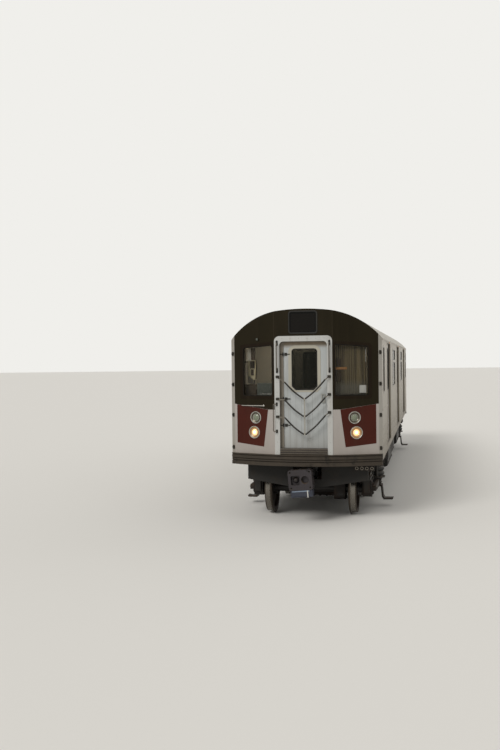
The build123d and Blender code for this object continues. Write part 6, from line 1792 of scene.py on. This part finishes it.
# Trucks: bolts, brake can lids, anchor rod ends, dampers and rigid pipes
def corner_fittings(side, end, station, heads, fine, parts):
    """What one corner of a truck has: the bolts of its axle box, a brake can lid and a damper."""
    out = Vector((side, 0, 0))
    axle_y = station + end * half_wheelbase
    bolt_places = []
    for degrees in (60, 90, 120, 240, 270, 300):
        turn = radians(degrees)
        bolt_places.append((1.088, axle_y + 0.085 * cos(turn), axle_z + 0.085 * sin(turn)))
    for y, z in product((-0.126, 0.126), (0.545, 0.588)):
        bolt_places.append((1.070, axle_y + y, z))
    for y, z in product((-0.177, 0.177), (0.470, 0.540, 0.605)):
        bolt_places.append((1.038, axle_y + y, z))
    for y in (-0.030, 0.055):
        bolt_places.append((1.143, axle_y + end * y, axle_z + 0.010))
    heads += [(Vector((side * x, y, z)), out) for x, y, z in bolt_places]

    can_x = side * 0.800
    can_y = station + end * 0.445
    lid = [(0, 0.750), (0.080, 0.750), (0.080, 0.762), (0.062, 0.770)]
    lid += [(0.030, 0.782), (0.012, 0.784), (0.012, 0.800), (0, 0.800)]
    parts.append(turned(lid, top_plane(0, can_x, can_y), 36))
    fine += ring_of((can_x, can_y, 0.762), 0.069, 8, to_right, to_rear, to_sky, 0.2)

    x = side * 1.105
    y = station + end * 0.30
    parts.append(tube([(x, y, 0.590), (x, y, 0.700)], 0.030, 18))
    parts.append(tube([(x, y, 0.700), (x, y, 0.800)], 0.022, 16))
    for z in (0.576, 0.816):
        parts.append(tube([(side * 1.078, y, z), (side * 1.132, y, z)], 0.026, 16))
    parts.append(block((side * 1.040, y - 0.030, 0.540), (side * 1.085, y + 0.030, 0.600), 0.004))
    arm_y = (station + end * 0.170, station + end * (0.30 + 0.030))
    parts.append(block((side * 1.058, arm_y[0], 0.790), (side * 1.082, arm_y[1], 0.842), 0.004))


def truck_fittings(name, station):
    """Everything added to one truck."""
    rod_end = [(0, -0.022), (0.040, -0.022), (0.046, -0.018), (0.046, -0.004), (0.040, 0), (0, 0)]
    spring_ring = [(0.205, 0.7585), (0.222, 0.7585), (0.222, 0.7695), (0.205, 0.7695)]
    heads = []
    fine = []
    parts = []
    pipes = []
    for side in (-1, 1):
        for end in (-1, 1):
            corner_fittings(side, end, station, heads, fine, parts)
        rod_x = side * 1.190
        for y in (0.738, 0.822):
            parts.append(turned(rod_end, rear_plane(station + y + 0.011, rod_x, 0.830), 24))
        heads.append((Vector((rod_x, station + 0.833, 0.830)), to_rear))
        x = side * 0.985
        parts.append(turned(spring_ring, top_plane(0, x, station), 48, True))
        fine += ring_of((x, station, 0.560), 0.257, 8, to_right, to_rear, to_sky, 0.39)
        for z, y in product((0.496, 0.432), (-0.095, 0.095)):
            heads.append((Vector((side * 1.173, station + y, z)), Vector((side, 0, 0))))
        route = []
        for x, y, z in (
            (0.735, -0.445, 0.660),
            (0.700, -0.445, 0.660),
            (0.700, -0.300, 0.640),
            (0.700, 0.300, 0.640),
            (0.700, 0.445, 0.660),
            (0.735, 0.445, 0.660),
        ):
            route.append((side * x, station + y, z))
        pipes.append(tube(route, 0.009, 10, 0.05))
        feed = [(side * x, station, z) for x, z in ((0.700, 0.640), (0.450, 0.640), (0.420, 0.700))]
        pipes.append(tube(feed, 0.008, 10, 0.04))
    body = f"{name}_truck"
    keep_bolts(f"{body}_bolts", heads, 0.0135, 0.012, cast_brown, 6, 0.74, body)
    keep_bolts(f"{body}_small_bolts", fine, 0.0070, 0.0060, cast_brown, 6, 0.74, body)
    keep(f"{body}_cans_and_dampers", parts, truck_grey, body)
    keep(f"{body}_pipes", pipes, drawbar_iron, body)


# Couplers
def on_coupler(reach):
    """A plane square to the front coupler as it hangs and rolled with its head."""
    swing = radians(coupler_hang)
    ahead = Vector((sin(swing), -cos(swing), 0))
    start = Vector((0, -coupler_pivot, coupler_z)) + ahead * reach
    square = placed(start, (cos(swing), sin(swing), 0), (0, 0, 1))
    return square @ Matrix.Rotation(radians(coupler_roll), 4, "Z")


def coupler_fittings():
    """Bushes, bolts and pipes of the front coupler, and the cover of its electric box."""
    body = "front_coupler"
    face = on_coupler(coupler_reach)
    bush = [(0.0188, -0.0005), (0.0188, -0.030), (0.0125, -0.030), (0.0125, -0.0025)]
    cup = [(0.0655, -0.001), (0.0655, -0.014), (0.0560, -0.030), (0.0540, -0.030), (0.0600, -0.006)]
    button = [(0, 0), (0.020, 0), (0.020, 0.006), (0.010, 0.010), (0, 0.010)]
    parts = [turned(bush, moved(face, x, z), 24, True) for x, z in product((-0.165, 0.165), (-0.132, 0.132))]
    parts.append(turned(cup, moved(face, 0.082, 0), 40, True))
    parts.append(turned(button, moved(face, -0.082, 0, -0.0145), 24))
    keep("coupler_bushes", parts, drawbar_iron, body)

    turning = face.to_3x3()
    up = (turning @ Vector((0, 1, 0))).normalized()
    across = (turning @ Vector((1, 0, 0))).normalized()
    heads = []
    for depth in (-0.030, -0.085, -0.140):
        for x in (-0.140, 0.0, 0.140):
            heads.append((face @ Vector((x, 0.1725, depth)), up))
        for z in (-0.100, 0.0, 0.100):
            heads.append((face @ Vector((0.205, z, depth)), across))
            heads.append((face @ Vector((-0.205, z, depth)), -across))
    keep_bolts("coupler_bolts", heads, 0.013, 0.009, coupler_grey, 6, 0.74, body)

    back = on_coupler(coupler_reach - 0.170)
    run = ((0.115, 0.120, 0.010), (0.115, 0.120, -0.060), (0.085, 0.075, -0.150), (0.085, 0.075, -0.440))
    parts = []
    for side in (-1, 1):
        route = [back @ Vector((side * x, rise, out)) for x, rise, out in run]
        parts.append(tube(route, 0.013, 12, 0.04))
        parts.append(tube(route[:2], 0.019, 12))
    keep("coupler_pipes", parts, drawbar_iron, body)

    low = moved(face, 0, -0.2325, -0.010)
    bar = panel(0.300, 0.020, 0.006, (-0.010, 0.044), 0.005, low, 0.002)
    keep("electric_cover_bar", [bar], bar_blue, body)
    tab = panel(0.018, 0.120, 0.005, (0.108, -0.008), 0.007, low, 0.002)
    keep("electric_cover_tab", [tab], gauge_white, body)
    parts = [panel(0.250, 0.054, 0.010, (0.010, -0.012), 0.004, low, 0.0015)]
    for x in (-0.120, 0.140):
        parts.append(tube([low @ Vector((x + reach, 0.060, 0.002)) for reach in (-0.020, 0.020)], 0.008, 10))
    keep("electric_cover_panel", parts, coupler_blue, body)


def drawbar_bolts():
    heads = ring_of((0, 7.778, coupler_z), 0.090, 6, to_right, to_sky, to_front)
    keep_bolts("drawbar_bolts", heads, 0.021, 0.018, cast_brown, 6, 0.80, "rear_drawbar")


lamps_in_front()
bar_feet()
jamb_fittings()
front_screws()
sign_bezel()
sill_treads()
climber_rivets()
wiper()
screen_frames()
leaf_fittings()
side_fittings()
cab_seat()
cab_desk_controls()
cab_equipment()
cab_blinds()
cab_partition_trim()
cab_door_trim()
ceiling_fittings()
pole_flanges()
bench_trim()
blank_cards()
end_door_fittings()
blind_end_fittings()
side_seals()
side_rivets()
fan_blades()
floor_pipes()
case_fittings()
tank_bands()
for truck, station in trucks:
    truck_fittings(truck, station)
coupler_fittings()
drawbar_bolts()


# Camera at the photograph's place
def aim_camera():
    lens = bpy.data.cameras.new("front_view")
    lens.sensor_fit = "HORIZONTAL"
    lens.sensor_width = 36
    lens.lens = 64.30
    lens.clip_end = 300
    camera_at = (2.115, -22.65, 2.756)
    yaw = 0.1996
    pitch = -0.0147
    roll = -0.0109
    ahead = Vector((-sin(yaw), cos(yaw), 0))
    right = Vector((cos(yaw), sin(yaw), 0))
    forward = ahead * cos(pitch) + to_sky * sin(pitch)
    top = to_sky * cos(pitch) - ahead * sin(pitch)
    rolled_right = right * cos(roll) + top * sin(roll)
    rolled_top = top * cos(roll) - right * sin(roll)
    turn = Matrix((rolled_right, rolled_top, -forward)).transposed().to_4x4()
    camera = new_object("front_view", lens)
    camera.matrix_world = Matrix.Translation(camera_at) @ turn
    bpy.context.scene.camera = camera


# Studio: a pale floor, an even sky and two broad lamps
def set_studio():
    ground = Finish("studio_floor")
    paths = ground.node("ShaderNodeLightPath", out="Is Camera Ray")
    ground.surface(base_color=ground.mix(paths, (196, 195, 192), (226, 225, 222)), roughness=0.9)
    bpy.ops.mesh.primitive_plane_add(size=600, location=(0, 0, -0.001))
    floor_plane = bpy.context.object
    floor_plane.name = "studio_floor"
    floor_plane.data.materials.append(ground.material)

    world = bpy.data.worlds.new("studio_sky")
    bpy.context.scene.world = world
    world.use_nodes = True
    sky = Graph(world.node_tree)
    camera_ray = sky.node("ShaderNodeLightPath", out="Is Camera Ray")
    through_glass = Value(sky, camera_ray.socket.node.outputs["Is Transmission Ray"])
    light = sky.node("ShaderNodeBackground", {}, {"Color": colour_of((236, 234, 229)), "Strength": 0.62})
    seen = sky.node("ShaderNodeBackground", {}, {"Color": colour_of((240, 239, 235)), "Strength": 1.0})
    in_view = sky.maths("MAXIMUM", camera_ray, through_glass)
    blend = sky.node("ShaderNodeMixShader", {}, {0: in_view, 1: light, 2: seen})
    sky.node("ShaderNodeOutputWorld", {}, {"Surface": blend}, None)

    for name, strength, spread, turn in (
        ("key", 1.5, 25, (radians(52), 0, radians(-24))),
        ("fill", 0.55, 60, (radians(66), 0, radians(150))),
    ):
        sun = bpy.data.lights.new(name, "SUN")
        sun.energy = strength
        sun.angle = radians(spread)
        sun.color = (1.0, 0.97, 0.93)
        new_object(name, sun).rotation_euler = turn


aim_camera()
set_studio()
bpy.context.scene.view_settings.view_transform = "Standard"
